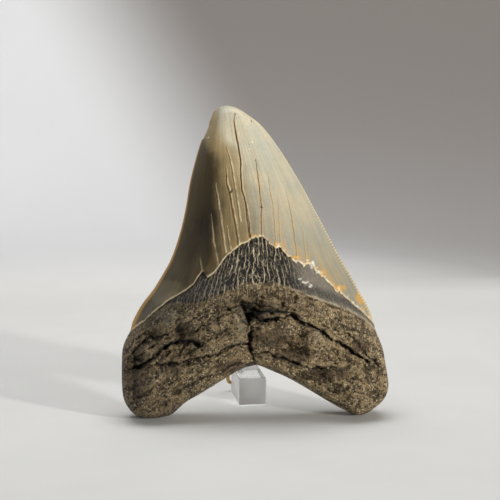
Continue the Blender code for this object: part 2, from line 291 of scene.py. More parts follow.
def slow_swell(u: Grid, v: Grid, scale: float, seed: float) -> Grid:
    """The same broad unevenness that the plain solid has."""
    places = [Vector((a * scale, b * scale, seed)) for a, b in zip(u.flat, v.flat)]
    return np.array([noise.fractal(place, 1.0, 2.0, 3) for place in places]).reshape(u.shape)


# ---- what the tooth is made of ---------------------------------------------------------------------


class Mark(Enum):
    """Masks that the tooth's mesh carries for its finish, three to an attribute."""

    ZONES = "zones"  # enamel, neck band, ridged part of the neck and root
    LINES = "lines"  # dark crack, rust in a crack, painted shade in fissures and in the creases between layers
    EDGES = "edges"  # bright enamel edge with painted highlight, stain, serration tips with painted highlight and gaps with painted shade
    SHADE_AND_PATCHES = "shade_and_patches"  # painted shade in hollows and light on raised places, painted highlight on one rim of a crack, grey patch
    SPOTS = "spots"  # white spots, black spots (painted shade where they lie in the root's hollows and fissures), orange spots
    GROWTH = "growth"  # across and up the tooth, and 1 on the back
    SEAM = "seam"  # bright seam under the neck, painted shade in the groove over it, browner bone


@dataclass(frozen=True)
class Fissure:
    """A gap worn into the root.

    Attributes:
        reach: How far the sides lean in, in mm.
        depth: Its depth in mm.
        course: Its line across the face, from left to right where it has a ledge.
        ledge: How far the bone above it stands proud of the bone below, in mm.
    """

    reach: float
    depth: float
    course: Line
    ledge: float = 0.0


@dataclass(frozen=True)
class Lump:
    """A swelling of the root, or a hollow.

    Attributes:
        u: Its middle across, in mm.
        v: Its middle up, in mm.
        reach: How far it reaches, in mm.
        height: Its height in mm, below 0 for a hollow.
    """

    u: float
    v: float
    reach: float
    height: float


@dataclass(frozen=True)
class Crack:
    """A crack down the enamel.

    Attributes:
        width: Half its width in mm.
        dark: How dark it is, 0 to 1.
        rust: How orange its sides are, 0 to 1.
        course: Its line from the top down.
    """

    width: float
    dark: float
    rust: float
    course: Line


@dataclass(frozen=True)
class Patch:
    """A spot on the face.

    Attributes:
        u: Its middle across, in mm.
        v: Its middle up, in mm.
        width: Half its width in mm.
        height: Half its height in mm.
    """

    u: float
    v: float
    width: float
    height: float

    def mask(self, u: Grid, v: Grid) -> Grid:
        """1 in the middle of the spot, falling away to 0."""
        return np.exp(-(((u - self.u) / self.width) ** 2) - ((v - self.v) / self.height) ** 2)


# the outline: both sides from the foot up, the tip from left to right, and the arch under the root
LEFT_EDGE: Line = (
    (-53.8, 3.3), (-56.3, 7.3), (-57.4, 13.5), (-57.3, 26.5), (-56.4, 32.0), (-53.6, 37.5), (-52.2, 42.0),
    (-48.4, 48.8), (-43.4, 55.2), (-39.1, 62.0), (-35.4, 68.8), (-31.8, 79.0), (-29.2, 89.5), (-26.7, 103.0),
    (-22.8, 117.0), (-18.6, 127.0), (-16.3, 132.2),
)
RIGHT_EDGE: Line = (
    (53.0, 4.4), (55.9, 7.6), (57.4, 13.0), (56.3, 21.5), (55.1, 29.0), (52.8, 36.0), (51.8, 40.8),
    (49.5, 47.0), (45.7, 53.8), (42.0, 60.8), (37.9, 67.8), (32.6, 78.0), (27.2, 88.5), (19.8, 102.4),
    (11.2, 116.4), (3.8, 126.0), (-3.9, 132.0),
)
TIP_EDGE: Line = ((-16.3, 132.2), (-13.6, 133.9), (-10.4, 134.4), (-7.2, 133.6), (-3.9, 132.0))
UNDER_EDGE: Line = (
    (-53.8, 3.3), (-50.3, 0.6), (-45.2, 0.0), (-40.0, 0.5), (-35.8, 2.0), (-30.0, 6.8), (-23.7, 10.4),
    (-15.1, 15.5), (-6.5, 20.4), (-2.0, 21.8), (1.3, 22.1), (6.5, 20.0), (14.0, 16.6), (21.5, 12.3),
    (30.1, 7.0), (37.8, 2.6), (43.9, 0.1), (48.5, 1.2), (53.0, 4.4),
)
# where the enamel ends and where the neck band ends, from left to right
ENAMEL_LINE: Line = (
    (-54, 37.0), (-48.0, 41.2), (-42.1, 46.7), (-35.3, 51.6), (-29.8, 54.7), (-26.7, 57.3), (-24.7, 60.5),
    (-23.0, 62.9), (-20.8, 60.2), (-18.1, 61.9), (-14.8, 66.4), (-12.5, 69.3), (-7.7, 73.4), (-4.0, 75.2),
    (-2.3, 76.4), (3.1, 76.4), (5.5, 74.4), (7.9, 72.4), (10.3, 72.8), (13.3, 68.8), (16.2, 66.9),
    (20.1, 64.2), (21.9, 65.1), (24.0, 66.0), (24.9, 63.0), (28.2, 59.8), (31.2, 56.6), (36.6, 52.4),
    (41.3, 48.4), (46.1, 44.8), (52.1, 39.0), (54, 37.0),
)
NECK_LINE: Line = (
    (-54, 37.0), (-47.7, 41.2), (-43.0, 45.3), (-37.0, 49.5), (-25.8, 49.6), (-15.9, 53.2), (-5.2, 57.6),
    (7.7, 58.1), (15.0, 55.0), (29.2, 49.6), (39.6, 46.0), (47.3, 41.6), (52.0, 37.2), (54, 36.5),
)
BACK_ENAMEL_LINE: Line = (
    (-54, 38.5), (-40, 44.0), (-20, 50.0), (0, 52.5), (20, 50.0), (40, 44.0), (54, 38.5),
)
# what is worn into the face, and what stands out of it
FISSURES = (
    Fissure(1.9, 4.4, ((-5.2, 46.8), (-3.4, 41.5), (-2.9, 36.0), (-2.6, 30.0), (-1.0, 24.0), (0.8, 20.5))),
    Fissure(1.6, 3.4, ((-3.4, 45.2), (0.5, 42.8), (7.0, 42.2), (14.5, 43.8), (21.0, 40.6), (28.0, 36.0),
                       (36.0, 31.2), (42.5, 27.2), (49.0, 22.6)), 1.3),
    Fissure(1.6, 2.4, ((-6.5, 48.0), (-1.0, 46.6), (6.0, 45.2), (11.0, 45.6), (16.0, 44.6))),
    Fissure(1.3, 2.0, ((38.5, 36.0), (43.0, 31.8), (47.5, 26.4), (52.5, 21.8)), 0.6),
    Fissure(1.4, 2.2, ((3.0, 28.4), (11.5, 25.6), (18.0, 22.6), (24.0, 21.0), (31.0, 21.6)), 1.4),
    Fissure(2.5, 4.0, ((-42.0, 27.8), (-39.0, 31.0), (-35.0, 32.6), (-29.0, 33.4), (-25.0, 32.0)), 1.0),
    Fissure(1.8, 2.8, ((-54.0, 21.4), (-49.0, 23.8), (-43.5, 27.0)), 0.9),
    Fissure(1.1, 1.5, ((-54.5, 26.0), (-50.5, 31.0), (-46.0, 35.0), (-38.0, 36.2)), 0.7),
    Fissure(0.9, 1.1, ((-55.0, 30.0), (-51.0, 34.4), (-47.0, 37.0)), 0.5),
    Fissure(0.9, 1.2, ((-52.0, 25.6), (-46.5, 30.4), (-41.5, 32.6)), 0.5),
    Fissure(1.3, 2.0, ((-43.0, 23.4), (-32.0, 24.5), (-22.8, 26.9), (-17.4, 28.1), (-12.0, 30.8),
                       (-4.0, 31.5)), 1.2),
    Fissure(1.2, 1.4, ((-8.5, 48.4), (-3.0, 49.8), (2.0, 48.2), (8.5, 46.2))),
    Fissure(0.8, 0.9, ((-34.0, 12.4), (-26.0, 16.0), (-15.0, 21.0), (-7.0, 24.0)), 0.5),
    Fissure(1.0, 1.6, ((-1.0, 47.0), (0.5, 44.0), (5.0, 42.6))),
    Fissure(1.0, 1.3, ((-12.0, 46.5), (-8.0, 44.5), (-5.0, 41.0), (-4.2, 38.0))),
    Fissure(0.8, 0.9, ((14.0, 54.0), (22.0, 51.2), (30.0, 48.0), (39.0, 45.0), (47.0, 40.0)), -0.6),
    Fissure(0.8, 1.0, ((33.0, 42.0), (38.0, 39.4), (44.0, 36.0)), 0.5),
    Fissure(0.9, 1.2, ((10.0, 49.5), (12.5, 46.5), (14.5, 43.8))),
)
LUMPS = (
    Lump(24.5, 33.2, 6.5, 7.0), Lump(4.0, 35.0, 5.5, 3.4), Lump(6.0, 50.0, 8.0, 1.6),
    Lump(-30.0, 42.0, 9.0, 3.0), Lump(-24.0, 18.0, 9.0, 2.6), Lump(38.0, 13.0, 10.0, 2.6),
    Lump(-47.0, 13.0, 10.0, 2.6), Lump(-38.2, 41.0, 3.2, 2.2), Lump(41.0, 38.0, 7.0, 3.0),
    Lump(26.0, 45.5, 6.0, 2.6), Lump(-16.0, 40.0, 6.0, 2.4), Lump(-47.5, 29.5, 4.5, 2.2),
    Lump(14.0, 31.0, 5.0, -3.4), Lump(-33.8, 38.0, 2.8, -3.0), Lump(33.0, 24.0, 5.5, -2.4),
    Lump(-32.0, 29.0, 6.0, -2.4), Lump(-9.0, 36.0, 3.6, 1.8), Lump(9.0, 24.0, 5.0, 1.8),
    Lump(18.0, 49.0, 3.0, 1.6), Lump(-44.0, 38.0, 4.0, -1.6), Lump(47.0, 31.0, 4.0, -1.6),
)
CRACKS = (
    Crack(0.24, 1.0, 0.9, ((-7.6, 130.6), (-8.0, 127.1), (-7.3, 120.6), (-6.4, 114.2), (-5.8, 109.5),
                           (-6.0, 103.4), (-5.6, 97.4), (-4.3, 91.7), (-3.1, 79.6), (-2.6, 76.4))),
    Crack(0.27, 0.45, 0.3, ((-12.0, 115.9), (-10.3, 110.3), (-9.6, 103.4), (-8.7, 97.4), (-7.9, 92.5),
                           (-7.0, 84.0))),
    Crack(0.28, 0.8, 0.5, ((-12.5, 107.7), (-12.0, 100.4), (-10.8, 95.3), (-9.6, 87.0), (-8.7, 82.2),
                           (-7.9, 74.0))),
    Crack(0.28, 0.45, 0.3, ((-16.8, 100.4), (-15.9, 92.6), (-15.2, 85.7), (-14.6, 79.7), (-13.5, 71.0))),
    Crack(0.15, 0.75, 0.8, ((0.4, 111.3), (1.3, 105.6), (1.7, 97.0), (2.4, 89.7), (2.1, 82.4), (2.4, 76.6))),
    Crack(0.15, 0.3, 0.5, ((5.4, 106.5), (6.2, 98.3), (7.7, 88.3), (8.0, 73.7))),
    Crack(0.20, 0.8, 0.6, ((-3.9, 94.9), (-3.1, 85.5), (-2.3, 76.7))),
    Crack(0.16, 0.5, 0.3, ((13.8, 96.9), (15.4, 87.0), (16.3, 80.5), (17.2, 69.0))),
    Crack(0.13, 0.25, 0.3, ((9.8, 97.5), (9.9, 73.5))),
    Crack(0.18, 0.5, 0.3, ((-18.9, 87.1), (-18.1, 75.0), (-16.8, 66.0))),
    Crack(0.24, 0.6, 0.3, ((-24.1, 68.9), (-23.4, 63.6))),
    Crack(0.22, 0.6, 0.3, ((-12.5, 84.0), (-12.0, 76.5), (-11.2, 72.0))),
    Crack(0.15, 0.35, 0.3, ((20.2, 82.2), (21.5, 66.3))),
    Crack(0.12, 0.2, 0.2, ((22.8, 74.7), (22.8, 67.5))),
)

WHITE_SPOTS = (
    Patch(24.2, 65.0, 1.1, 1.6), Patch(20.4, 58.0, 1.8, 0.9), Patch(22.9, 56.2, 1.0, 0.6),
    Patch(18.0, 59.2, 0.6, 0.3), Patch(-1.7, 114.8, 0.4, 0.3), Patch(-0.6, 117.6, 0.3, 0.25),
    Patch(-18.9, 120.3, 0.7, 0.28), Patch(26.2, 61.8, 0.7, 0.9),
)
# Black spots: on the root they are painted shade in its sunk hollows and along its fissures; on the enamel,
# dark spots.
BLACK_SPOTS = (
    Patch(-22.3, 61.9, 1.5, 1.0), Patch(-10.2, 96.4, 0.75, 0.65), Patch(-0.4, 127.2, 0.45, 0.4),
    Patch(2.5, 89.7, 0.6, 1.0), Patch(-2.2, 44.2, 2.6, 3.4), Patch(-33.5, 38.4, 1.4, 2.0),
    Patch(5.5, 46.4, 2.0, 0.9), Patch(1.5, 45.2, 2.2, 1.0), Patch(-3.4, 48.2, 1.2, 1.5),
    Patch(-5.2, 45.8, 1.0, 1.2), Patch(10.5, 45.0, 1.8, 0.7), Patch(-31.5, 33.2, 3.6, 1.3),
)
BROWN_PATCHES = (
    Patch(7.0, 34.5, 7.0, 5.5), Patch(-10.0, 22.0, 9.0, 3.0), Patch(-50.0, 20.0, 6.0, 12.0),
    Patch(16.0, 27.0, 10.0, 3.0), Patch(-30.0, 36.0, 5.0, 5.0), Patch(44.0, 30.0, 5.0, 4.0),
    Patch(30.0, 18.0, 12.0, 3.0), Patch(1.0, 46.0, 9.0, 4.5),
)
ORANGE_SPOTS = (
    Patch(46.3, 50.4, 2.7, 3.2), Patch(36.2, 55.0, 3.6, 1.4), Patch(28.6, 61.4, 1.4, 1.8),
    Patch(16.6, 68.4, 2.6, 1.0), Patch(8.6, 74.0, 1.6, 1.3), Patch(-0.5, 77.6, 3.2, 0.9),
    Patch(-8.6, 86.0, 0.6, 2.6),
)
GREY_PATCHES = (
    Patch(-37.0, 53.5, 9.0, 6.0), Patch(-7.0, 41.0, 2.4, 6.0), Patch(-38.0, 40.4, 1.4, 2.6),
    Patch(-38.0, 44.5, 6.0, 1.8), Patch(25.0, 35.0, 2.0, 3.4),
)
BOSS = Patch(1.0, 42.0, 26.0, 19.0)
SINKS = ((2.2, Patch(-1.2, 45.0, 5.0, 4.0)), (0.9, Patch(-33.0, 38.0, 4.0, 4.0)))  # depth in mm, place
SERRATED_EDGES = ((0, 40.0, 74.0, 30.0), (-1, 41.0, 126.0, 30.0))  # column, first and last v, fade


def spots(patches: Sequence[Patch], u: Grid, v: Grid, ragged: float, seed: int) -> Grid:
    """Masks several patches with broken edges.

    Args:
        patches: The patches.
        u: Places across, in mm.
        v: Places up, in mm.
        ragged: How far their edges wander, in mm.
        seed: Picks another wandering.

    Returns:
        1 inside them and 0 outside.
    """
    u, v = u + ragged * rough(u, v, 1.8, 2, seed), v + ragged * rough(u, v, 1.8, 2, seed + 5)
    return smoothstep(0.28, 0.62, np.maximum.reduce([patch.mask(u, v) for patch in patches]))


@dataclass(frozen=True)
class RootGrain:
    """The root's rough layered bone and its fissures. Heights and depths are in mm.

    Attributes:
        broad: Height of the broad swellings.
        fine: Height of the fine roughness.
        billows: Height of the humps between sharp valleys.
        layers: Height of the thin wavy layers along the rim.
        steps: Height of a step between two strata.
        creases: Depth of the creases between layers.
        grooves: Depth of the upright grooves under the neck.
        sunk: How deep the whole grain is set, so that it stays within the plain solid.
        slope: Depth of a fissure's leaning sides, as a share of its own depth.
        core: Depth of its gap beyond them, as a share of its own depth.
        ledge: Height of a ledge of strength 1.
        ledge_fade: How far a ledge runs back from its fissure.
    """

    broad: float = 2.2
    fine: float = 0.55
    billows: float = 1.3
    layers: float = 0.8
    steps: float = 1.0
    creases: float = 0.6
    grooves: float = 0.45
    sunk: float = 1.75
    slope: float = 0.40
    core: float = 0.75
    ledge: float = 1.7
    ledge_fade: float = 6.0

    def bone(self, u: Grid, v: Grid, rim: Grid, warp_u: Grid, warp_v: Grid) -> tuple[Grid, Grid]:
        """Layered bone without its fissures.

        Args:
            u: Places across, in mm.
            v: Places up, in mm.
            rim: Distance from the outline, in mm.
            warp_u: Bends the layers across.
            warp_v: Bends them up.

        Returns:
            Its height in mm, and painted shade in the creases between layers and on the faces of its steps.
        """
        texture = self.broad * rough(u, v, 12.0, 3, Seed.SWELLINGS)
        texture = texture + self.fine * rough(u, v, 1.3, 2, Seed.FINE_BONE)
        billow = np.abs(rough(u + 1.2 * warp_u, v + 1.2 * warp_v, 4.2, 3, Seed.BILLOWS))
        layers = rough(u / 9.0 + 0.4 * warp_u, (rim + 2.0 * warp_v) / 3.0, 1.0, 3, Seed.LAYERS)
        tilted = (v + 0.42 * np.abs(u)) / 6.0
        level = 2.6 * rough(u / 15.0 + 0.3 * warp_u, tilted + 0.3 * warp_v, 1.0, 3, Seed.STRATA)
        stair = level - np.floor(level)
        stepped = np.floor(level) + smoothstep(0.62, 0.95, stair) - 0.45
        fibres = rough(u / 1.9 + 0.3 * warp_u, v / 8.0 + 0.3 * warp_v, 1.0, 3, Seed.FIBRES)
        fibrous = bell(u + 6.0, 26.0) * smoothstep(33.0, 42.0, v)
        here = smoothstep(0.1, 0.5, rough(u, v, 11.0, 2, Seed.CREASES))
        here = here * (1.0 - bell(np.hypot(u, v - 45.0), 11.0))
        crease = 1.0 - smoothstep(0.0, 0.10, np.abs(layers))
        wrinkle = crease * smoothstep(2.0, 8.0, rim) * here
        grooves = self.grooves * (1.0 - smoothstep(0.0, 0.22, np.abs(fibres))) * fibrous
        sink = sum(depth * place.mask(u, v) for depth, place in SINKS)
        height = texture + self.billows * billow + self.layers * layers + self.steps * stepped
        height = height - self.creases * wrinkle - grooves - self.sunk - sink
        # painted shade in the creases and on the steep faces of the steps
        foot = smoothstep(0.50, 0.62, stair) * (1.0 - smoothstep(0.66, 0.80, stair))
        broken = smoothstep(0.0, 0.4, rough(u, v, 3.0, 2, Seed.BROKEN))
        return height, np.maximum(0.35 * wrinkle, 0.5 * foot) * broken

    def shape(self, u: Grid, v: Grid, rim: Grid, share: Grid) -> tuple[Grid, Grid]:
        """The bone with its fissures.

        Args:
            u: Places across, in mm.
            v: Places up, in mm.
            rim: Distance from the outline, in mm.
            share: 1 on the root and 0 on the crown.

        Returns:
            Its height in mm, and painted shade, 1 in gaps and fissures.
        """
        warp_u, warp_v = (rough(u, v, 5.0, 4, seed) for seed in (Seed.WARP_ACROSS, Seed.WARP_UP))
        height, gap = self.bone(u, v, rim, warp_u, warp_v)
        relief = share * height
        width = 0.35 + 1.1 * smoothstep(-0.45, 0.45, rough(u, v, 5.0, 3, Seed.FISSURE_WIDTH))
        shake_u = u + 1.5 * warp_u + 0.6 * rough(u, v, 1.9, 2, Seed.SHAKE_ACROSS)
        shake_v = v + 1.5 * warp_v + 0.6 * rough(u, v, 1.9, 2, Seed.SHAKE_UP)
        for fissure in FISSURES:
            distance = distance_to_line(fissure.course, shake_u, shake_v)
            reach = fissure.reach * width
            slope = self.slope * bell(distance, 1.3 * fissure.reach)
            core = self.core * (1.0 - smoothstep(0.1, 0.50, distance / reach))
            above = smoothstep(-0.6, 0.6, shake_v - height_of_line(fissure.course, shake_u))
            ledge = self.ledge * fissure.ledge * (above - 0.5) * np.exp(-distance / self.ledge_fade)
            relief = relief - fissure.depth * (0.4 + 0.5 * width) * (slope + core) + ledge
            # painted shade inside the fissure, deeper fissures darker
            dark = 1.0 - smoothstep(0.05, 0.55, distance / reach)
            gap = np.maximum(gap, min(1.0, 0.25 + fissure.depth / 3.6) * dark)
        return relief, gap


@dataclass
class Tooth:
    """The tooth's fine surface.

    Two sheets over one outline, a tongue side that faces the viewer and a lip side behind it,
    share their rim. Everything is worked out in the face frame in mm (u right, v up the face,
    w out of the face), and then leaned back and set on the ground.

    Attributes:
        columns: Steps across the front sheet; the back sheet has half as many.
        rows: Steps up it.
        lean: How far the face leans back, in radians.
        crown_thick: The crown's thickness in mm at places v.
        crown_fullness: How full its section is, at the neck and higher up.
        crown_back: How far it bulges on the lip side, in mm.
        root_lobe: How far the lobes stand out, in mm.
        root_boss: How much further the boss in the middle stands out, in mm.
        root_back: How far the root bulges on the lip side, in mm.
        root_rim: How far the root's rim stands before the crown's, in mm.
        enamel_step: Height of the enamel's edge over the neck, in mm.
        neck_step: How deep the neck band is set, in mm.
        back_enamel_step: Height of the enamel's edge on the lip side, in mm.
        tip_round: Share of the height over which the tip is rounded.
        root_grain: Height of the broad unevenness that the plain solid has too, in mm.
        grain_scale: Cells of that unevenness in a mm.
        serration_rows: Steps from one serration to the next.
        serration: How far the serrations stand out, in mm.
        chip: Depth in mm of the chip in the left edge.
        chip_span: v where the chip starts and is full, and where it fades and ends.
        inset: Scale that keeps the surface inside the plain solid.
        front_give: Depth in mm over which the face is pressed flat where it nears the front of its box.
        bone: The root's grain.
        marks: The masks of the sheet that is being shaped.
    """

    columns: int = 216
    rows: int = 340
    lean: float = math.radians(10.0)
    crown_thick: Line = (
        (20, 29.0), (45, 28.0), (58, 26.4), (72, 24.0), (86, 21.2), (100, 17.4), (112, 13.2),
        (122, 9.2), (130, 6.4), (136, 5.0),
    )
    crown_fullness: tuple[float, float] = (3.0, 2.1)
    crown_back: float = 3.4
    root_lobe: float = 20.5
    root_boss: float = 8.5
    root_back: float = 5.5
    root_rim: float = 6.0
    enamel_step: float = 0.9
    neck_step: float = 0.7
    back_enamel_step: float = 0.6
    tip_round: float = 0.045
    root_grain: float = 1.1
    grain_scale: float = 0.11
    serration_rows: int = 3
    serration: float = 0.22
    chip: float = 0.55
    chip_span: tuple[float, float, float, float] = (119.6, 120.6, 125.0, 127.6)
    inset: float = 0.9985
    front_give: float = 1.5
    bone: RootGrain = RootGrain()
    marks: dict[Mark, list[Grid]] = field(default_factory=dict)

    def face_grid(self) -> tuple[Grid, Grid, Grid, Grid]:
        """Lays a Coons patch over the outline.

        Returns:
            Shares across and up, and the (u, v) that they reach.
        """
        across = eased_shares(self.columns, (12, 0.033), (12, 0.033))
        up = eased_shares(self.rows, (14, 0.028), (10, 0.012))
        left, right = spline_through(LEFT_EDGE, up), spline_through(RIGHT_EDGE, up)
        under, tip = spline_through(UNDER_EDGE, across), spline_through(TIP_EDGE, across)
        s, t = across[:, None, None], up[None, :, None]
        patch = (1 - t) * under[:, None] + t * tip[:, None] + (1 - s) * left[None] + s * right[None]
        patch -= (1 - s) * ((1 - t) * under[0] + t * tip[0]) + s * ((1 - t) * under[-1] + t * tip[-1])
        s, t = np.broadcast_arrays(across[:, None], up[None, :])
        return s, t, patch[..., 0] * self.inset, (patch[..., 1] - 0.1) * self.inset + 0.1

    def rim_distance(self, u: Grid, v: Grid) -> Grid:
        """Distance of places on the face from its outline below the tip.

        Args:
            u: Places across, in mm.
            v: Places up, in mm.

        Returns:
            The distances in mm.
        """
        shares = np.linspace(0.0, 1.0, 60)
        outline = [spline_through(edge, shares) for edge in (LEFT_EDGE, UNDER_EDGE, RIGHT_EDGE)]
        return np.minimum.reduce([distance_to_line(edge, u, v) for edge in outline])

    def rootness(self, u: Grid, v: Grid, line: Line) -> Grid:
        """1 on the root, 0 on the crown, turning over at the line between them."""
        return 1.0 - smoothstep(-7.0, 3.0, v - height_of_line(line, u))

    def front(self, s: Grid, t: Grid, u: Grid, v: Grid) -> Grid:
        """Shapes the tongue side and notes its marks.

        Args:
            s: Shares across.
            t: Shares up.
            u: Places across, in mm.
            v: Places up, in mm.

        Returns:
            w of each point over the rim.
        """
        side = np.abs(2.0 * s - 1.0)
        low, high = self.crown_fullness
        fullness = low + (high - low) * smoothstep(40.0, 90.0, v) + 0.7 * smoothstep(95.0, 120.0, v)
        middle = np.interp(v, *zip(*self.crown_thick))
        crown = middle * (1.0 - side**fullness) * round_over(1.0 - t, self.tip_round)
        rim = self.rim_distance(u, v)
        root = self.root_lobe + self.root_boss * BOSS.mask(u, v)
        for lump in LUMPS:
            root = root + lump.height * bell(np.hypot(u - lump.u, v - lump.v), lump.reach)
        lower = round_over(rim, 9.0)
        upper = 1.0 - (1.0 - np.clip(rim / 25.0, 0.0, 1.0)) ** 2.2
        root = (root - self.root_rim) * (lower + (upper - lower) * smoothstep(14.0, 44.0, v))
        share = self.rootness(u, v, NECK_LINE)
        relief = share * self.root_grain * slow_swell(u, v, self.grain_scale, FRONT_SWELL)
        relief = relief + self.root_relief(u, v, rim, share)
        relief = relief + self.neck_relief(s, u, v)
        relief = relief + self.enamel_relief(s, t, u, v)
        return (1.0 - share) * crown + share * root + relief * smoothstep(0.5, 5.0, rim)

    def root_relief(self, u: Grid, v: Grid, rim: Grid, share: Grid) -> Grid:
        """The root's bone and fissures.

        Args:
            u: Places across, in mm.
            v: Places up, in mm.
            rim: Distance from the outline, in mm.
            share: 1 on the root and 0 on the crown.

        Returns:
            Their height in mm.
        """
        relief, gap = self.bone.shape(u, v, rim, share)
        # painted shade: hollows of the relief darker, raised bone lighter
        hollow = 0.55 * (relief - local_mean(relief, 9)) + 1.0 * (relief - local_mean(relief, 2))
        self.note(Mark.LINES, 2, gap * share)
        self.note(Mark.SHADE_AND_PATCHES, 0, np.clip(0.5 + hollow, 0.0, 1.0))
        return relief

    def neck_relief(self, s: Grid, u: Grid, v: Grid) -> Grid:
        """The dark band between enamel and root, with its upright ridges.

        Args:
            s: Shares across.
            u: Places across, in mm.
            v: Places up, in mm.

        Returns:
            Its height in mm.
        """
        above_neck = v - height_of_line(NECK_LINE, u) + 0.8 * rough(u, v, 4.0, 3, Seed.NECK_EDGE)
        above_enamel = v - self.ragged_enamel(u, v)
        below_enamel = 1.0 - smoothstep(-0.3, 0.3, above_enamel)
        band = smoothstep(-0.8, 0.6, above_neck) * below_enamel
        turn = s * 42.0 + 1.1 * rough(s * 22.0, v / 6.0, 1.0, 3, Seed.RIDGES)
        strength = 0.4 + 0.6 * bell(u - 1.0, 20.0)
        ridges = bell(turn - np.floor(turn) - 0.5, 0.22) * strength
        fade = smoothstep(-12.0, -4.0, above_neck) * below_enamel
        fade = fade * (0.18 + 0.82 * bell(u + 1.0, 17.0)) * (1.0 - 0.5 * smoothstep(10.0, 20.0, u) * band)
        right = smoothstep(9.0, 17.0, u)
        seam = bell(above_neck + 0.1, 0.42) * right * smoothstep(-0.5, 0.1, rough(u, v, 6.0, 2, Seed.SEAM))
        # painted shade in the shallow groove above the seam
        soot = bell(above_neck - 2.6, 2.2) * right
        self.note(Mark.ZONES, 1, band)
        self.note(Mark.ZONES, 2, fade)
        for channel, values in enumerate((seam, soot, spots(BROWN_PATCHES, u, v, 3.0, Seed.BROWN_PATCHES))):
            self.note(Mark.SEAM, channel, values)
        hollows = 0.45 * rough(u, v, 4.5, 3, Seed.NECK_HOLLOWS)
        relief = 0.55 * seam - 0.35 * soot - self.neck_step * smoothstep(-1.0, 0.4, above_neck)
        return relief + fade * (0.40 * ridges + hollows * band)

    def ragged_enamel(self, u: Grid, v: Grid) -> Grid:
        """Draws the enamel's broken lower edge.

        Args:
            u: Places across, in mm.
            v: Places up, in mm.

        Returns:
            v of the edge near each place.
        """
        broken = 0.25 + 0.75 * smoothstep(-14.0, 6.0, u) * (1.0 - smoothstep(38.0, 46.0, u))
        ragged = 0.5 * rough(u, v, 4.0, 4, Seed.ENAMEL_EDGE) + 0.5 * rough(u, v, 1.3, 2, Seed.FINE_EDGE)
        for pitch, step, seed in ((3.4, 0.6, Seed.BROAD_BREAKS), (1.6, 0.8, Seed.FINE_BREAKS)):
            bent = (u + 0.06 * v) / pitch
            ragged = ragged + step * (smoothstep(-0.12, 0.12, lattice_noise(bent, 0.5 + 0.0 * v, seed)) - 0.5)
        return height_of_line(ENAMEL_LINE, u) + ragged * broken

    def cracks(self, u: Grid, v: Grid) -> tuple[Grid, Grid, Grid, Grid]:
        """Draws the cracks down the enamel.

        Args:
            u: Places across, in mm.
            v: Places up, in mm.

        Returns:
            How dark each place is, its painted highlight on one rim of a crack, how rusty it is, and how deep
            in mm.
        """
        dark, pale, rust, depth = (np.zeros(u.shape) for _ in range(4))
        wander = 0.45 * rough(u, v, 6.0, 4, Seed.CRACK_WANDER)
        leaning = 0.02 * np.clip(u + 2.0, -12.0, 10.0)
        patchy = 0.35 + 0.65 * smoothstep(-0.3, 0.3, rough(u, v, 3.2, 3, Seed.CRACK_PATCHES) - leaning)
        for crack in CRACKS:
            distance = distance_to_line(crack.course, u + wander, v)
            beside = distance_to_line(crack.course, u + wander - 1.7 * crack.width, v)
            top = crack.course[0][1]
            taper = 0.25 + 0.75 * smoothstep(0.0, 12.0, top - v)
            core = 1.0 - smoothstep(0.5 * crack.width, 1.9 * crack.width, distance / taper)
            dark = np.maximum(dark, crack.dark * core)
            # painted highlight on the wall of each crack that faces the light
            pale = np.maximum(pale, (1.0 - smoothstep(0.6, 2.3, beside / taper / crack.width)) * patchy)
            rust = np.maximum(rust, crack.rust * bell(distance, 0.8) * patchy * taper)
            depth = depth + 0.45 * crack.dark * core
        return dark, pale, rust, depth

    def enamel_relief(self, s: Grid, t: Grid, u: Grid, v: Grid) -> Grid:
        """Ledge, cracks and faint flutes of the enamel.

        Args:
            s: Shares across.
            t: Shares up.
            u: Places across, in mm.
            v: Places up, in mm.

        Returns:
            Their height in mm.
        """
        above = v - self.ragged_enamel(u, v)
        enamel = smoothstep(-0.25, 0.25, above)
        flutes = 0.10 * rough(s * 34.0, t * 5.0, 1.0, 3, Seed.FLUTES)
        dark, pale, rust, depth = self.cracks(u, v)
        right = smoothstep(4.0, 14.0, u) * enamel
        flakes = bell(above - 0.6, 1.1) * smoothstep(0.12, 0.34, rough(u, v, 1.7, 2, Seed.FLAKES)) * right
        burnt = bell(above - 1.8, 2.0) * smoothstep(0.10, 0.45, rough(u, v, 2.6, 3, Seed.BURNT)) * right
        uneven = 0.35 * rough(u, v, 2.2, 3, Seed.EDGE_WIDTH)
        # bright strip along the enamel's lower edge: paler broken enamel with a painted highlight on its step
        edge = smoothstep(-0.35, 0.1, above) * (1.0 - smoothstep(0.4 + uneven, 1.1 + 1.4 * uneven, above))
        self.note(Mark.SHADE_AND_PATCHES, 1, pale * enamel)
        self.note(Mark.SHADE_AND_PATCHES, 2, spots(GREY_PATCHES, u, v, 1.6, Seed.GREY_PATCHES))
        stains = ((WHITE_SPOTS, flakes), (BLACK_SPOTS, 0.0), (ORANGE_SPOTS, burnt))
        for channel, (patches, more) in enumerate(stains):
            self.note(Mark.SPOTS, channel, np.maximum(spots(patches, u, v, 1.1, Seed.SPOTS + channel), more))
        self.note(Mark.ZONES, 0, enamel)
        self.note(Mark.LINES, 0, dark * enamel)
        self.note(Mark.LINES, 1, rust * enamel)
        self.note(Mark.EDGES, 0, edge)
        self.note(Mark.EDGES, 1, bell(np.maximum(above, 0.0), STAIN_REACH))
        return self.enamel_step * enamel + enamel * flutes - depth * enamel

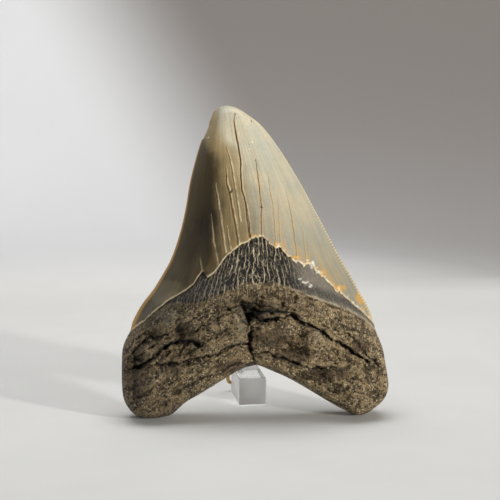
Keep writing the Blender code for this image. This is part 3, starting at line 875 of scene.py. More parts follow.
    def back(self, s: Grid, t: Grid, u: Grid, v: Grid) -> Grid:
        """Shapes the lip side and notes its marks.

        Args:
            s: Shares across.
            t: Shares up.
            u: Places across, in mm.
            v: Places up, in mm.

        Returns:
            How far each point lies behind the rim.
        """
        side = np.abs(2.0 * s - 1.0)
        crown = self.crown_back * (1.0 - side**2.4) * round_over(1.0 - t, self.tip_round)
        rim = self.rim_distance(u, v)
        root = (self.root_back + self.root_rim) * round_over(rim, 8.0)
        share = self.rootness(u, v, BACK_ENAMEL_LINE)
        above = v - height_of_line(BACK_ENAMEL_LINE, u) - 0.9 * rough(u, v, 5.0, 4, Seed.BACK_EDGE)
        enamel = smoothstep(-0.4, 0.4, above)
        pits = 0.45 * smoothstep(0.25, 0.7, rough(u, v, 3.2, 3, Seed.BACK_PITS))
        texture = 0.5 * rough(u, v, 6.0, 4, Seed.BACK_BONE) + 0.2 * rough(u, v, 1.9, 2, Seed.BACK_FINE)
        swell = 0.8 * self.root_grain * slow_swell(u, v, self.grain_scale, BACK_SWELL)
        relief = share * (swell + texture - pits)
        flutes = 0.1 * rough(s * 26.0, t * 4.0, 1.0, 3, Seed.BACK_FLUTES)
        relief = relief + self.back_enamel_step * enamel + enamel * flutes
        # painted shade: hollows darker, raised places lighter, as on the front
        hollow = relief - local_mean(relief, 4)
        edge = smoothstep(-0.5, 0.1, above) * (1.0 - smoothstep(0.4, 1.2, above))
        for mark in Mark:
            self.note(mark, 0, np.zeros(u.shape))
        self.note(Mark.ZONES, 0, enamel)
        self.note(Mark.SHADE_AND_PATCHES, 0, np.clip(0.5 + hollow * 1.1, 0.0, 1.0))
        self.note(Mark.EDGES, 0, edge)
        self.note(Mark.EDGES, 1, bell(np.maximum(above, 0.0), STAIN_REACH))
        return (1.0 - share) * crown + share * root + relief * smoothstep(1.0, 6.0, rim)

    def note(self, mark: Mark, channel: int, values: Grid) -> None:
        """Keeps one channel of a mark for the sheet that is being shaped.

        Args:
            mark: The mark.
            channel: Its channel, 0 to 2.
            values: The mask, or the places.
        """
        channels = self.marks.setdefault(mark, [np.zeros(values.shape) for _ in range(3)])
        channels[channel] = values

    def set_down(self, u: Grid, v: Grid, w: Grid) -> Grid:
        """Leans the face frame back.

        Args:
            u: Places across, in mm.
            v: Places up the face, in mm.
            w: Places out of the face, in mm.

        Returns:
            Their world metres, before they are put on the ground.
        """
        y = v * math.sin(self.lean) - w * math.cos(self.lean)
        z = v * math.cos(self.lean) + w * math.sin(self.lean)
        return np.stack([u, y, z], axis=-1) * MM

    def outline_wear(self, u: Grid, v: Grid) -> tuple[Grid, Grid, Grid]:
        """Cuts the serrations and the chip into both side edges.

        Args:
            u: Places across, in mm.
            v: Places up, in mm.

        Returns:
            The moved u and v, and the ridges that run in from the serrations, in mm.
        """
        phase = np.arange(u.shape[1]) % self.serration_rows
        teeth = np.where(phase == 1, 1.0, -0.5)[None, :]
        uneven = 0.7 + 0.5 * rough(v, u, 9.0, 2, Seed.SERRATION_SIZE)
        ridges = np.zeros(u.shape)
        for side, low, high, fade in SERRATED_EDGES:
            edge_u, edge_v = u[side], v[side]
            along_u, along_v = np.gradient(edge_u), np.gradient(edge_v)
            length = np.hypot(along_u, along_v)
            sign = -1.0 if side == 0 else 1.0
            out_u, out_v = sign * along_v / length, -sign * along_u / length
            inward = np.hypot(u - edge_u[None], v - edge_v[None])
            present = smoothstep(low, low + 4.0, v) * (1.0 - smoothstep(high - fade, high, v))
            worn = 0.8 + 0.5 * rough(v, u, 3.0, 2, Seed.SERRATION_WEAR)
            present = present * (1.0 - 0.45 * smoothstep(66.0, 100.0, v)) * worn
            push = self.serration * teeth * uneven * present * bell(inward, 0.7)
            if side == 0:
                start, full, fading, end = self.chip_span
                chipped = smoothstep(start, full, v) * (1 - smoothstep(fading, end, v))
                push = push - self.chip * chipped * bell(inward, 1.0)
            u, v = u + push * out_u[None], v + push * out_v[None]
            ridges = ridges + 0.12 * teeth * present * bell(inward, 1.5)
        return u, v, ridges

    def sheets(self) -> list[tuple[Grid, dict[Mark, Grid]]]:
        """Works out the front sheet and then the back sheet.

        Returns:
            For each its points in the leaning frame, and its marks.
        """
        s, t, u, v = self.face_grid()
        u, v, ridges = self.outline_wear(u, v)
        rim = self.root_rim * (1.0 - smoothstep(-9.0, 6.0, v - height_of_line(NECK_LINE, u)))
        found = []
        for shape, side in ((self.front, 1.0), (self.back, -1.0)):
            self.marks = {}
            w = rim + side * (shape(s, t, u, v) + ridges)
            # serration tips get painted highlight, the gaps between them painted shade
            self.note(Mark.EDGES, 2, np.clip(ridges * 8.0, -1.0, 1.0) * 0.5 + 0.5)
            on_back = np.full(s.shape, 0.5 - 0.5 * side)
            for channel, values in enumerate((s * FULL_ACROSS, t * FULL_UP, on_back)):
                self.note(Mark.GROWTH, channel, values)
            marks = {mark: np.stack(channels, axis=-1) for mark, channels in self.marks.items()}
            found.append((self.set_down(u, v, w), marks))
        return found

    def skin(self, columns: int, rows: int) -> tuple[list[list[int]], Grid]:
        """Joins a fine front grid and a coarser back grid that share their rim.

        Args:
            columns: Points across the front grid.
            rows: Points up it.

        Returns:
            The faces, and which points the back grid adds.
        """
        index = np.arange(columns * rows).reshape(columns, rows)
        on_rim = np.zeros((columns, rows), bool)
        on_rim[[0, -1], :] = on_rim[:, [0, -1]] = True
        added = np.zeros((columns, rows), bool)
        added[::2, ::2] = True
        added &= ~on_rim
        back_index = np.where(on_rim, index, -1)
        back_index[added] = columns * rows + np.arange(added.sum())
        quads = np.stack([index[:-1, :-1], index[1:, :-1], index[1:, 1:], index[:-1, 1:]], axis=-1)
        faces = quads.reshape(-1, 4).tolist()
        steps = ((0, 0), (0, 1), (0, 2), (1, 2), (2, 2), (2, 1), (2, 0), (1, 0))
        for i in range(0, columns - 1, 2):
            for j in range(0, rows - 1, 2):
                around = [int(back_index[i + di, j + dj]) for di, dj in steps]
                faces.append([vertex for vertex in around if vertex >= 0])
        return faces, added

    def fitted(self, points: Grid) -> Grid:
        """Sets the points into the plain solid's box.

        Args:
            points: Places in metres.

        Returns:
            The places, on the ground, against the box's back and pressed flat at its front.
        """
        low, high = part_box("tooth")
        points[:, 1] += high.y - 0.05 * MM - points[:, 1].max()
        points[:, 2] += low.z - points[:, 2].min()
        give = self.front_give * MM
        past = low.y + give - points[:, 1]
        points[:, 1] = np.where(past > 0.0, low.y + give * np.exp(-past / give), points[:, 1])
        return points

    def build(self, finish: bpy.types.Material) -> bpy.types.Object:
        """Joins both sheets into one closed skin and sets it where the plain solid stands.

        Args:
            finish: The tooth's material.

        Returns:
            The tooth.
        """
        (front, front_marks), (back, back_marks) = self.sheets()
        faces, added = self.skin(*front.shape[:2])
        points = self.fitted(np.concatenate([front.reshape(-1, 3), back[added]]))
        mesh = bpy.data.meshes.new("megalodon_tooth")
        mesh.from_pydata(points.tolist(), [], faces)
        for mark in Mark:
            values = np.concatenate([front_marks[mark].reshape(-1, 3), back_marks[mark][added]])
            layer = mesh.attributes.new(mark.value, "FLOAT_VECTOR", "POINT")
            layer.data.foreach_set("vector", values.astype(np.float32).ravel())
        mesh.shade_smooth()
        mesh.materials.append(finish)
        tooth = bpy.data.objects.new("megalodon_tooth", mesh)
        bpy.context.scene.collection.objects.link(tooth)
        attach(tooth, BODY)
        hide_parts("tooth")
        return tooth


# ---- finishes ----------------------------------------------------------------------------------------


def tint(red: int, green: int, blue: int) -> Colour:
    """A linear colour from the usual 0 to 255 numbers."""
    shares = [value / 255.0 for value in (red, green, blue)]
    return tuple(c / 12.92 if c <= 0.04045 else ((c + 0.055) / 1.055) ** 2.4 for c in shares)


class Graph:
    """Short words for laying nodes in one tree."""

    def __init__(self, tree: bpy.types.NodeTree) -> None:
        """Works on this tree."""
        self.tree = tree

    def put(self, socket: Socket, value: object) -> None:
        """Links an output to the socket, or sets the socket to a plain value.

        Args:
            socket: The input.
            value: An output, a number, a vector or a colour.
        """
        if isinstance(value, Socket):
            self.tree.links.new(value, socket)
        elif isinstance(value, tuple) and len(value) == 3 and socket.type == "RGBA":
            socket.default_value = (*value, 1.0)
        else:
            socket.default_value = value

    def node(self, kind: str, inputs: dict | None = None, **settings: object) -> bpy.types.Node:
        """Adds a node.

        Args:
            kind: Its type, without the ShaderNode in front.
            inputs: What goes into its sockets, by name or number.
            **settings: Its own settings.

        Returns:
            The node.
        """
        node = self.tree.nodes.new("ShaderNode" + kind)
        for name, value in settings.items():
            setattr(node, name, value)
        for name, value in (inputs or {}).items():
            self.put(node.inputs[name], value)
        return node

    def math(self, operation: str, *values: object, clamp: bool = False) -> Socket:
        """A Math node's result."""
        node = self.node("Math", dict(enumerate(values)), operation=operation, use_clamp=clamp)
        return node.outputs[0]

    def times(self, first: object, second: object) -> Socket:
        """One number times another."""
        return self.math("MULTIPLY", first, second)

    def ramp(self, value: object, rise: object, base: object, clamp: bool = False) -> Socket:
        """A number times rise, over base."""
        return self.math("MULTIPLY_ADD", value, rise, base, clamp=clamp)

    def invert(self, value: object) -> Socket:
        """What a number leaves of 1."""
        return self.math("SUBTRACT", 1.0, value)

    def vector(self, operation: str, first: object, second: object) -> Socket:
        """A Vector Math node's result."""
        node = self.node("VectorMath", {0: first, 1: second}, operation=operation)
        return node.outputs[0]

    def scaled(self, vector: object, scale: object) -> Socket:
        """A vector times a number."""
        return self.node("VectorMath", {0: vector, "Scale": scale}, operation="SCALE").outputs[0]

    def span(self, value: object, low: object, high: object) -> Socket:
        """Rises smoothly from 0 at low to 1 at high."""
        inputs = {"Value": value, "From Min": low, "From Max": high}
        return self.node("MapRange", inputs, interpolation_type="SMOOTHSTEP").outputs[0]

    def mix(self, share: object, first: object, second: object, blend: str = "MIX") -> Socket:
        """Mixes two colours.

        Args:
            share: How much of the second, from 0 to 1.
            first: The first colour.
            second: The second colour.
            blend: How they blend.

        Returns:
            The mixed colour.
        """
        node = self.node("Mix", data_type="RGBA", blend_type=blend)
        for socket, value in zip((node.inputs[0], node.inputs[6], node.inputs[7]), (share, first, second)):
            self.put(socket, value)
        return node.outputs[2]

    def coats(self, colour: object, *coats: tuple[object, float, Colour]) -> Socket:
        """Lays colours over each other.

        Args:
            colour: What lies under them.
            *coats: For each its mask, how strong it is at most, and its colour.

        Returns:
            The colour on top.
        """
        for mask, strength, over in coats:
            colour = self.mix(mask if strength == 1.0 else self.times(mask, strength), colour, over)
        return colour

    def shaded(self, colour: object, tone: object) -> Socket:
        """A colour made darker by a tone from 0 to 1."""
        grey = self.node("CombineColor", {0: tone, 1: tone, 2: tone}).outputs[0]
        return self.mix(1.0, colour, grey, "MULTIPLY")

    def bumped(self, height: object, strength: float, depth: float) -> Socket:
        """The normal of a height that reaches this depth in mm."""
        return self.node("Bump", {"Height": height, "Strength": strength, "Distance": depth * MM}).outputs[0]

    def noise(self, place: object, detail: float, roughness: float = 0.5) -> Socket:
        """Noise with one cell a unit."""
        inputs = {"Vector": place, "Scale": 1.0, "Detail": detail, "Roughness": roughness}
        return self.node("TexNoise", inputs).outputs[0]

    def parts(self, vector: object) -> Sequence[Socket]:
        """The three numbers of a vector."""
        return self.node("SeparateXYZ", {0: vector}).outputs

    def attribute(self, mark: Mark) -> Socket:
        """The vector that the mesh carries under this name."""
        return self.node("Attribute", attribute_name=mark.value).outputs["Vector"]

    def place_in_mm(self) -> Socket:
        """The place on the object, in mm."""
        return self.scaled(self.node("TexCoord").outputs["Object"], 1.0 / MM)

    def show(self, shader: bpy.types.Node) -> None:
        """Makes a shader the material's surface."""
        self.put(self.tree.nodes["Material Output"].inputs["Surface"], shader.outputs[0])

    def effect(self, group: bpy.types.NodeTree, **inputs: object) -> bpy.types.Node:
        """Places a shared effect with this material's own values.

        Args:
            group: The effect.
            **inputs: Its values, by name.

        Returns:
            Its node.
        """
        node = self.node("Group")
        node.node_tree = group
        for name, value in inputs.items():
            self.put(node.inputs[name.replace("_", " ")], value)
        return node


@dataclass(frozen=True)
class Effect:
    """A node group that several finishes share.

    Attributes:
        name: Its name.
        numbers: Its named numbers, with their defaults.
        results: What it puts out.
    """

    name: str
    numbers: tuple[tuple[str, float], ...]
    results: tuple[str, ...]

    def open(self) -> tuple[bpy.types.NodeTree, Graph, bpy.types.NodeGroupInput, bpy.types.NodeGroupOutput]:
        """Makes the group's sockets.

        Returns:
            The group, its graph, and its input and output nodes.
        """
        group = bpy.data.node_groups.new(self.name, "ShaderNodeTree")
        sockets = group.interface
        sockets.new_socket(name="Place", in_out="INPUT", socket_type="NodeSocketVector")
        for number, default in self.numbers:
            socket = sockets.new_socket(name=number, in_out="INPUT", socket_type="NodeSocketFloat")
            socket.default_value = default
        for result in self.results:
            sockets.new_socket(name=result, in_out="OUTPUT", socket_type="NodeSocketFloat")
        return group, Graph(group), group.nodes.new("NodeGroupInput"), group.nodes.new("NodeGroupOutput")


def build_mottling() -> bpy.types.NodeTree:
    """Uneven colour: a broad cloud and a fine grain over it.

    Returns:
        The group.
    """
    effect = Effect("mottling", (("Cloud", 12.0), ("Grain", 1.2), ("Softness", 0.2)), ("Cloud", "Grain"))
    group, g, into, out = effect.open()
    cloud = g.noise(g.scaled(into.outputs["Place"], g.math("DIVIDE", 1.0, into.outputs["Cloud"])), 4.0, 0.6)
    grain = g.noise(g.scaled(into.outputs["Place"], g.math("DIVIDE", 1.0, into.outputs["Grain"])), 4.0, 0.8)
    low, high = (g.math(way, 0.5, into.outputs["Softness"]) for way in ("SUBTRACT", "ADD"))
    g.put(out.inputs["Cloud"], g.span(cloud, 0.32, 0.68))
    g.put(out.inputs["Grain"], g.span(grain, low, high))
    return group


def build_streaks() -> bpy.types.NodeTree:
    """Fine lines that run along the second axis of the place.

    Returns:
        The group.
    """
    effect = Effect("streaks", (("Pitch", 1.0), ("Length", 20.0)), ("Fine", "Broad"))
    group, g, into, out = effect.open()
    across, along, side = g.parts(into.outputs["Place"])
    along = g.math("DIVIDE", along, into.outputs["Length"])
    for name, factor in (("Fine", 1.0), ("Broad", 5.0)):
        pitch = g.times(into.outputs["Pitch"], factor)
        joined = g.node("CombineXYZ", {0: g.math("DIVIDE", across, pitch), 1: along, 2: side}).outputs[0]
        g.put(out.inputs[name], g.span(g.noise(joined, 3.0, 0.6), 0.30, 0.70))
    return group


def build_ridge_lines() -> bpy.types.NodeTree:
    """Thin uneven lines along the second axis of the place that join and break, and voids between them.

    Returns:
        The group.
    """
    effect = Effect("ridge_lines", (("Pitch", 1.3), ("Waver", 1.0), ("Width", 0.3)), ("Line", "Void"))
    group, g, into, out = effect.open()
    across, along, side = g.parts(into.outputs["Place"])

    def drawn_out(pitch: float, length: float, shift: float) -> Socket:
        """Noise whose cells are this wide and this long.

        Args:
            pitch: How wide a cell is.
            length: How long it is.
            shift: Picks another pattern.

        Returns:
            The noise.
        """
        inputs = {0: g.math("DIVIDE", across, pitch), 1: g.math("DIVIDE", along, length), 2: side}
        place = g.node("CombineXYZ", inputs).outputs[0]
        return g.noise(g.vector("ADD", place, (shift, 2.0 * shift, 0.0)), 2.0, 0.5)

    bend = g.times(g.math("SUBTRACT", drawn_out(5.0, 8.0, 0.0), 0.5), 6.0)
    bend = g.ramp(g.math("SUBTRACT", drawn_out(1.6, 3.0, 7.0), 0.5), 2.2, bend)
    bend = g.times(bend, into.outputs["Waver"])
    turn = g.math("ADD", g.math("DIVIDE", across, into.outputs["Pitch"]), bend)
    off = g.math("ABSOLUTE", g.math("SUBTRACT", g.math("FRACT", turn), 0.5))
    width = g.times(into.outputs["Width"], g.ramp(drawn_out(1.8, 4.0, 13.0), 1.6, 0.2))
    line = g.invert(g.span(off, g.times(width, 0.3), width))
    line = g.times(line, g.span(drawn_out(1.9, 7.0, 19.0), 0.36, 0.56))
    joined = g.math("ABSOLUTE", g.math("SUBTRACT", drawn_out(2.4, 7.0, 29.0), 0.5))
    branch = g.times(g.invert(g.span(joined, 0.004, 0.020)), 0.55)
    g.put(out.inputs["Line"], g.math("MAXIMUM", line, branch))
    g.put(out.inputs["Void"], g.span(drawn_out(2.0, 7.0, 37.0), 0.42, 0.56))
    return group


def build_specks() -> bpy.types.NodeTree:
    """Scattered round specks.

    Returns:
        The group.
    """
    effect = Effect("specks", (("Pitch", 2.0), ("Radius", 0.2), ("Share", 0.3)), ("Mask",))
    group, g, into, out = effect.open()
    place = g.scaled(into.outputs["Place"], g.math("DIVIDE", 1.0, into.outputs["Pitch"]))
    shake = g.node("TexNoise", {"Vector": g.scaled(place, 0.45), "Scale": 1.0, "Detail": 1.0})
    place = g.vector("ADD", place, g.scaled(shake.outputs["Color"], 1.6))
    cells = g.node("TexVoronoi", {"Vector": place, "Scale": 1.0, "Randomness": 1.0})
    choice, size, _ = g.parts(cells.outputs["Color"])
    chosen = g.math("LESS_THAN", choice, into.outputs["Share"])
    radius = g.times(into.outputs["Radius"], g.ramp(size, 0.7, 0.65))
    near = g.invert(g.span(cells.outputs["Distance"], g.times(radius, 0.45), radius))
    g.put(out.inputs["Mask"], g.times(near, chosen))
    return group


@dataclass
class Effects:
    """The shared effects, each built once.

    Attributes:
        mottling: Uneven colour.
        streaks: Fine lines.
        specks: Round specks.
        ridge_lines: Thin uneven lines with voids between them.
    """

    mottling: bpy.types.NodeTree = field(default_factory=build_mottling)
    streaks: bpy.types.NodeTree = field(default_factory=build_streaks)
    specks: bpy.types.NodeTree = field(default_factory=build_specks)
    ridge_lines: bpy.types.NodeTree = field(default_factory=build_ridge_lines)


def new_finish(name: str) -> tuple[bpy.types.Material, Graph, bpy.types.Node]:
    """An empty node material.

    Args:
        name: The material's name.

    Returns:
        The material, its graph and its Principled shader.
    """
    material = bpy.data.materials.new(name)
    material.use_nodes = True
    shader = material.node_tree.nodes["Principled BSDF"]
    return material, Graph(material.node_tree), shader


class FossilMaps:
    """The masks and grains that the fossil's colours and relief are worked out from."""

    def __init__(self, g: Graph, effects: Effects) -> None:
        """Reads the mesh's marks and places the shared effects.

        Args:
            g: The material's graph.
            effects: The shared effects.
        """
        place, growth = g.place_in_mm(), g.attribute(Mark.GROWTH)
        self.across, self.up, self.back = g.parts(growth)
        self.enamel, self.neck, self.ridged = g.parts(g.attribute(Mark.ZONES))
        self.crack, self.rust, self.fissure = g.parts(g.attribute(Mark.LINES))
        self.ledge, self.stain, self.cutting = g.parts(g.attribute(Mark.EDGES))
        # painted shade of hollows, painted highlight on crack rims, and grey patches
        self.hollow, self.pale, self.patch = g.parts(g.attribute(Mark.SHADE_AND_PATCHES))
        self.seam, self.soot, self.browner = g.parts(g.attribute(Mark.SEAM))
        self.white, self.black, self.orange = g.parts(g.attribute(Mark.SPOTS))
        self.clouds = g.effect(effects.mottling, Place=place, Cloud=16.0, Grain=0.8).outputs
        self.bone = g.effect(effects.mottling, Place=place, Cloud=14.0, Grain=1.6, Softness=0.16).outputs
        self.fine = g.effect(effects.mottling, Place=place, Cloud=3.2, Grain=0.9, Softness=0.22).outputs
        self.drawn = g.effect(effects.streaks, Place=growth, Pitch=1.6, Length=42.0).outputs
        self.streaks = g.effect(effects.streaks, Place=growth, Pitch=0.9, Length=30.0).outputs
        specks = {"Pitch": 0.85, "Radius": 0.58}
        self.dots = g.effect(effects.specks, Place=place, Pitch=2.6, Radius=0.12, Share=0.22).outputs[0]
        self.grains = g.effect(effects.specks, Place=place, Share=0.36, **specks).outputs[0]
        self.pores = g.effect(effects.specks, Place=g.scaled(place, -1.0), Share=0.42, **specks).outputs[0]
        lines = g.effect(effects.ridge_lines, Place=growth, Pitch=2.1, Waver=0.26, Width=0.15).outputs
        self.ridge, self.voids = (g.times(lines[name], self.ridged) for name in ("Line", "Void"))
        self.smooth = g.math("MAXIMUM", self.enamel, g.times(self.neck, 0.35))


@dataclass(frozen=True)
class FossilFinish:
    """Cream to olive enamel, slate neck band and rough tan bone, with painted shade and painted light in
    their colours.

    Places across run from 0 to FULL_ACROSS, and places up from 0 to FULL_UP.

    Attributes:
        cream: The enamel's light side.
        grey_cream: The greyer clouds in it.
        olive: Its left side, olive enamel partly darkened as painted shade.
        mustard: Where the two meet.
        shade_dark_olive: Its darkest part, at the left edge: painted shade over dark olive enamel.
        low_olive: Its left side near the neck.
        grey_olive: A greyer, lighter patch at the lower left: greyer enamel with a painted gleam.
        slate_light: The neck band's lit right end.
        pale_rust: Rust-tinted painted highlight on the rims of the cracks at the right.
        rust: Stains on the enamel, and the painted glow along its thin left edge.
        brown: Dark bone of the hollows.
        crack: Inside the enamel's cracks.
        ledge: Paler broken enamel, also the painted highlight on the enamel's step, crack rims and edges.
        chalk: White spots.
        slate: The neck band.
        slate_ridge: Its ridges.
        bone: The root.
        dark_bone: Its darker grain, and the painted shade in the relief's hollows.
        pale_grain: Its light grains.
        grey_bone: Its grey patches.
        hollow: Near black: pores and dark spots, and painted shade inside fissures, sunk hollows and the
            groove over the seam.
        shade_to_cream: Places across where the painted shade on the left side gives way to cream.
        deep_shade_edge: Places across where the deepest painted shade at the left edge eases to olive.
        low_part: Places up where low olive gives way, from top to bottom.
        shade_fade_up: Places up where the painted shade on the left side fades toward the tip.
        tip_painted_light: Places up over which cream spreads across the tip as painted light.
        band_painted_light: Places across where the slate turns lighter as painted light on the band's right
            end.
        root_painted_light: Places across where the root goes from painted shade on the left to painted light
            on the right.
    """

    cream: Colour = tint(206, 194, 164)
    grey_cream: Colour = tint(184, 181, 162)
    olive: Colour = tint(86, 72, 40)
    mustard: Colour = tint(176, 150, 98)
    shade_dark_olive: Colour = tint(44, 37, 20)
    low_olive: Colour = tint(98, 84, 52)
    grey_olive: Colour = tint(112, 104, 78)
    slate_light: Colour = tint(150, 141, 127)
    pale_rust: Colour = tint(222, 184, 122)
    rust: Colour = tint(204, 156, 76)
    brown: Colour = tint(64, 46, 27)
    crack: Colour = tint(34, 25, 15)
    ledge: Colour = tint(236, 216, 174)
    chalk: Colour = tint(240, 232, 215)
    slate: Colour = tint(28, 25, 22)
    slate_ridge: Colour = tint(236, 216, 178)
    bone: Colour = tint(186, 161, 118)
    dark_bone: Colour = tint(70, 56, 35)
    pale_grain: Colour = tint(232, 214, 174)
    grey_bone: Colour = tint(158, 148, 128)
    hollow: Colour = tint(12, 10, 7)
    shade_to_cream: tuple[float, float] = (21.0, 56.0)
    deep_shade_edge: tuple[float, float] = (2.0, 16.0)
    low_part: tuple[float, float] = (84.0, 58.0)
    shade_fade_up: tuple[float, float] = (76.0, 99.0)
    tip_painted_light: tuple[float, float] = (97.0, 134.0)
    band_painted_light: tuple[float, float] = (64.0, 74.0)
    root_painted_light: tuple[float, float] = (10.0, 70.0)

    def enamel(self, g: Graph, maps: FossilMaps) -> Socket:
        """The crown's colour: olive to cream enamel, with painted shade on its left side and painted light
        toward the tip.

        Args:
            g: The material's graph.
            maps: The tooth's masks and grains.

        Returns:
            Its colour.
        """
        across = g.math("ADD", maps.across, g.ramp(maps.clouds["Cloud"], 7.0, -3.5))
        # painted light: cream spreads over the left side of the tip
        across = g.math("ADD", across, g.times(g.span(maps.up, *self.tip_painted_light), 35.0))
        across = g.math("MAXIMUM", across, g.times(maps.back, 60.0))
        # painted shade: the left side darkens from olive to dark olive at its edge, lighter olive near the
        # neck, fading toward the tip
        dark = g.mix(g.span(across, *self.deep_shade_edge), self.olive, self.shade_dark_olive)
        dark = g.coats(dark, (g.span(maps.up, *self.low_part), 0.7, self.low_olive),
                       (g.span(maps.up, *self.shade_fade_up), 0.85, self.olive))
        # painted shade gives way to cream across the face
        light = g.span(across, *self.shade_to_cream)
        colour = g.mix(light, dark, g.mix(maps.clouds["Cloud"], self.grey_cream, self.cream))
        colour = g.coats(colour, (g.times(light, g.invert(light)), 2.8, self.mustard))
        tone = g.ramp(maps.drawn["Fine"], 0.15, 0.905)
        # painted light: lighter toward the tip, darker toward the neck
        tone = g.times(tone, g.ramp(g.span(maps.up, 45.0, 128.0), 0.58, 0.56))
        tone = g.times(tone, g.ramp(maps.drawn["Broad"], 0.10, 0.95))
        tone = g.times(tone, g.ramp(maps.clouds["Grain"], 0.16, 0.92))
        return g.coats(g.shaded(colour, tone), (maps.dots, 0.5, self.olive))

    def crown(self, g: Graph, maps: FossilMaps) -> Socket:
        """The enamel with its patches, stains, cracks and worn edges.

        Args:
            g: The material's graph.
            maps: The tooth's masks and grains.

        Returns:
            Its colour.
        """
        lit = g.ramp(g.span(maps.across, 30.0, 60.0), 0.32, 0.12)
        stained = g.times(maps.stain, g.span(maps.streaks["Broad"], 0.30, 0.9))
        rim = g.mix(g.span(maps.across, 48.0, 56.0), self.ledge, self.pale_rust)
        return g.coats(
            self.enamel(g, maps),
            # grey patches; at the crown's lower left a painted gleam over greyer enamel
            (maps.patch, 0.6, self.grey_olive),
            (g.times(stained, lit), 1.0, self.rust),
            (maps.rust, 0.55, self.rust),
            (g.times(maps.orange, g.ramp(lit, 1.7, 0.08)), 1.0, self.rust),
            # painted highlight on one rim of each crack
            (maps.pale, 0.90, rim),
            (maps.crack, 0.95, self.crack),
            # paler broken enamel along the lower edge, with a painted highlight on its step
            (maps.ledge, 0.85, self.ledge),
            # painted highlight along the right edge
            (g.span(maps.across, 98.9, 99.6), 0.5, self.ledge),
            # painted glow: the thin left edge looks lit through from behind
            (g.invert(g.span(maps.across, 0.4, 1.9)), 0.85, self.rust),
            # painted highlight on the serration tips, painted shade between them
            (g.span(maps.cutting, 0.55, 1.0), 0.9, self.ledge),
            (g.span(maps.cutting, 0.48, 0.25), 0.45, self.olive),
        )

    def root(self, g: Graph, maps: FossilMaps) -> Socket:
        """The bone: its grain, its light grains and pores, painted shade in its hollows and fissures, and
        painted shade on its left side.

        Args:
            g: The material's graph.
            maps: The tooth's masks and grains.

        Returns:
            Its colour.
        """
        grain = g.ramp(maps.bone["Grain"], 0.20, -0.35)
        # painted shade: hollows of the relief darker, raised bone lighter
        grain = g.ramp(maps.hollow, 0.95, grain)
        grain = g.ramp(maps.fine["Grain"], 0.65, grain, clamp=True)
        grainy = g.ramp(maps.bone["Cloud"], 0.30, g.ramp(maps.browner, -0.35, 0.70))
        bone = g.coats(
            g.mix(grain, self.dark_bone, self.bone),
            (maps.fine["Cloud"], 0.25, self.dark_bone),
            (g.times(maps.grains, grainy), 1.0, self.pale_grain),
            (maps.pores, 0.88, self.hollow),
            (g.invert(maps.bone["Cloud"]), 0.22, self.dark_bone),
            (maps.browner, 0.62, self.brown),
            (maps.patch, 0.35, self.grey_bone),
            (maps.ridge, 0.45, self.slate_ridge),
            (maps.voids, 0.55, self.brown),
        )
        # painted shade on the left side, painted light on the right
        bone = g.shaded(bone, g.ramp(g.span(maps.across, *self.root_painted_light), 0.42, 0.70))
        # painted shade inside the fissures
        return g.mix(maps.fissure, bone, self.hollow)

    def band(self, g: Graph, maps: FossilMaps) -> Socket:
        """The dark neck band with its light upright ridges, painted shade in the groove over the seam, and
        painted light at its right end.

        Args:
            g: The material's graph.
            maps: The tooth's masks and grains.

        Returns:
            Its colour.
        """
        return g.coats(
            # painted light: the band turns lighter toward its right end
            g.mix(g.span(maps.across, *self.band_painted_light), self.slate, self.slate_light),
            (g.times(maps.fine["Grain"], g.ramp(maps.ridged, 0.6, 0.25)), 1.0, self.hollow),
            # painted shade in the groove over the seam
            (maps.soot, 0.70, self.hollow),
            (maps.voids, 0.95, self.hollow),
            (maps.grains, 0.16, self.slate_ridge),
            (maps.ridge, 0.92, self.slate_ridge),
        )

    def relief(self, g: Graph, maps: FossilMaps) -> Socket:
        """The height of the fine relief.

        Args:
            g: The material's graph.
            maps: The tooth's masks and grains.

        Returns:
            The height.
        """
        rough_share = g.invert(maps.smooth)
        coarse = g.ramp(maps.fine["Grain"], 1.2, g.times(maps.bone["Grain"], 0.5))
        height = g.math("ADD", g.times(coarse, rough_share), g.times(maps.streaks["Fine"], 0.06))
        gritty = g.times(g.math("SUBTRACT", maps.grains, maps.pores), rough_share)
        for part, share in ((gritty, 0.9), (maps.ridge, 0.7), (maps.pale, 0.6)):
            height = g.ramp(part, share, height)
        return height

    def build(self, effects: Effects) -> bpy.types.Material:
        """Lays the whole finish from the tooth's marks.

        Args:
            effects: The shared effects.

        Returns:
            The material.
        """
        material, g, shader = new_finish("fossil_enamel_and_root")
        maps = FossilMaps(g, effects)
        colour = g.mix(maps.neck, self.root(g, maps), self.band(g, maps))
        colour = g.coats(
            colour,
            (maps.seam, 0.6, self.slate_ridge),
            (maps.enamel, 1.0, self.crown(g, maps)),
            (maps.white, 0.9, self.chalk),
            # black spots: painted shade in the root's hollows and fissures, dark spots on the enamel
            (maps.black, 0.85, self.hollow),
        )
        g.put(shader.inputs["Base Color"], colour)
        gloss = g.ramp(maps.streaks["Fine"], 0.10, 0.34)
        dull = g.ramp(maps.fine["Grain"], 0.20, 0.62)
        g.put(shader.inputs["Roughness"], g.node("Mix", {0: maps.smooth, 2: dull, 3: gloss}).outputs[0])
        g.put(shader.inputs["Normal"], g.bumped(self.relief(g, maps), 0.9, 0.5))
        return material


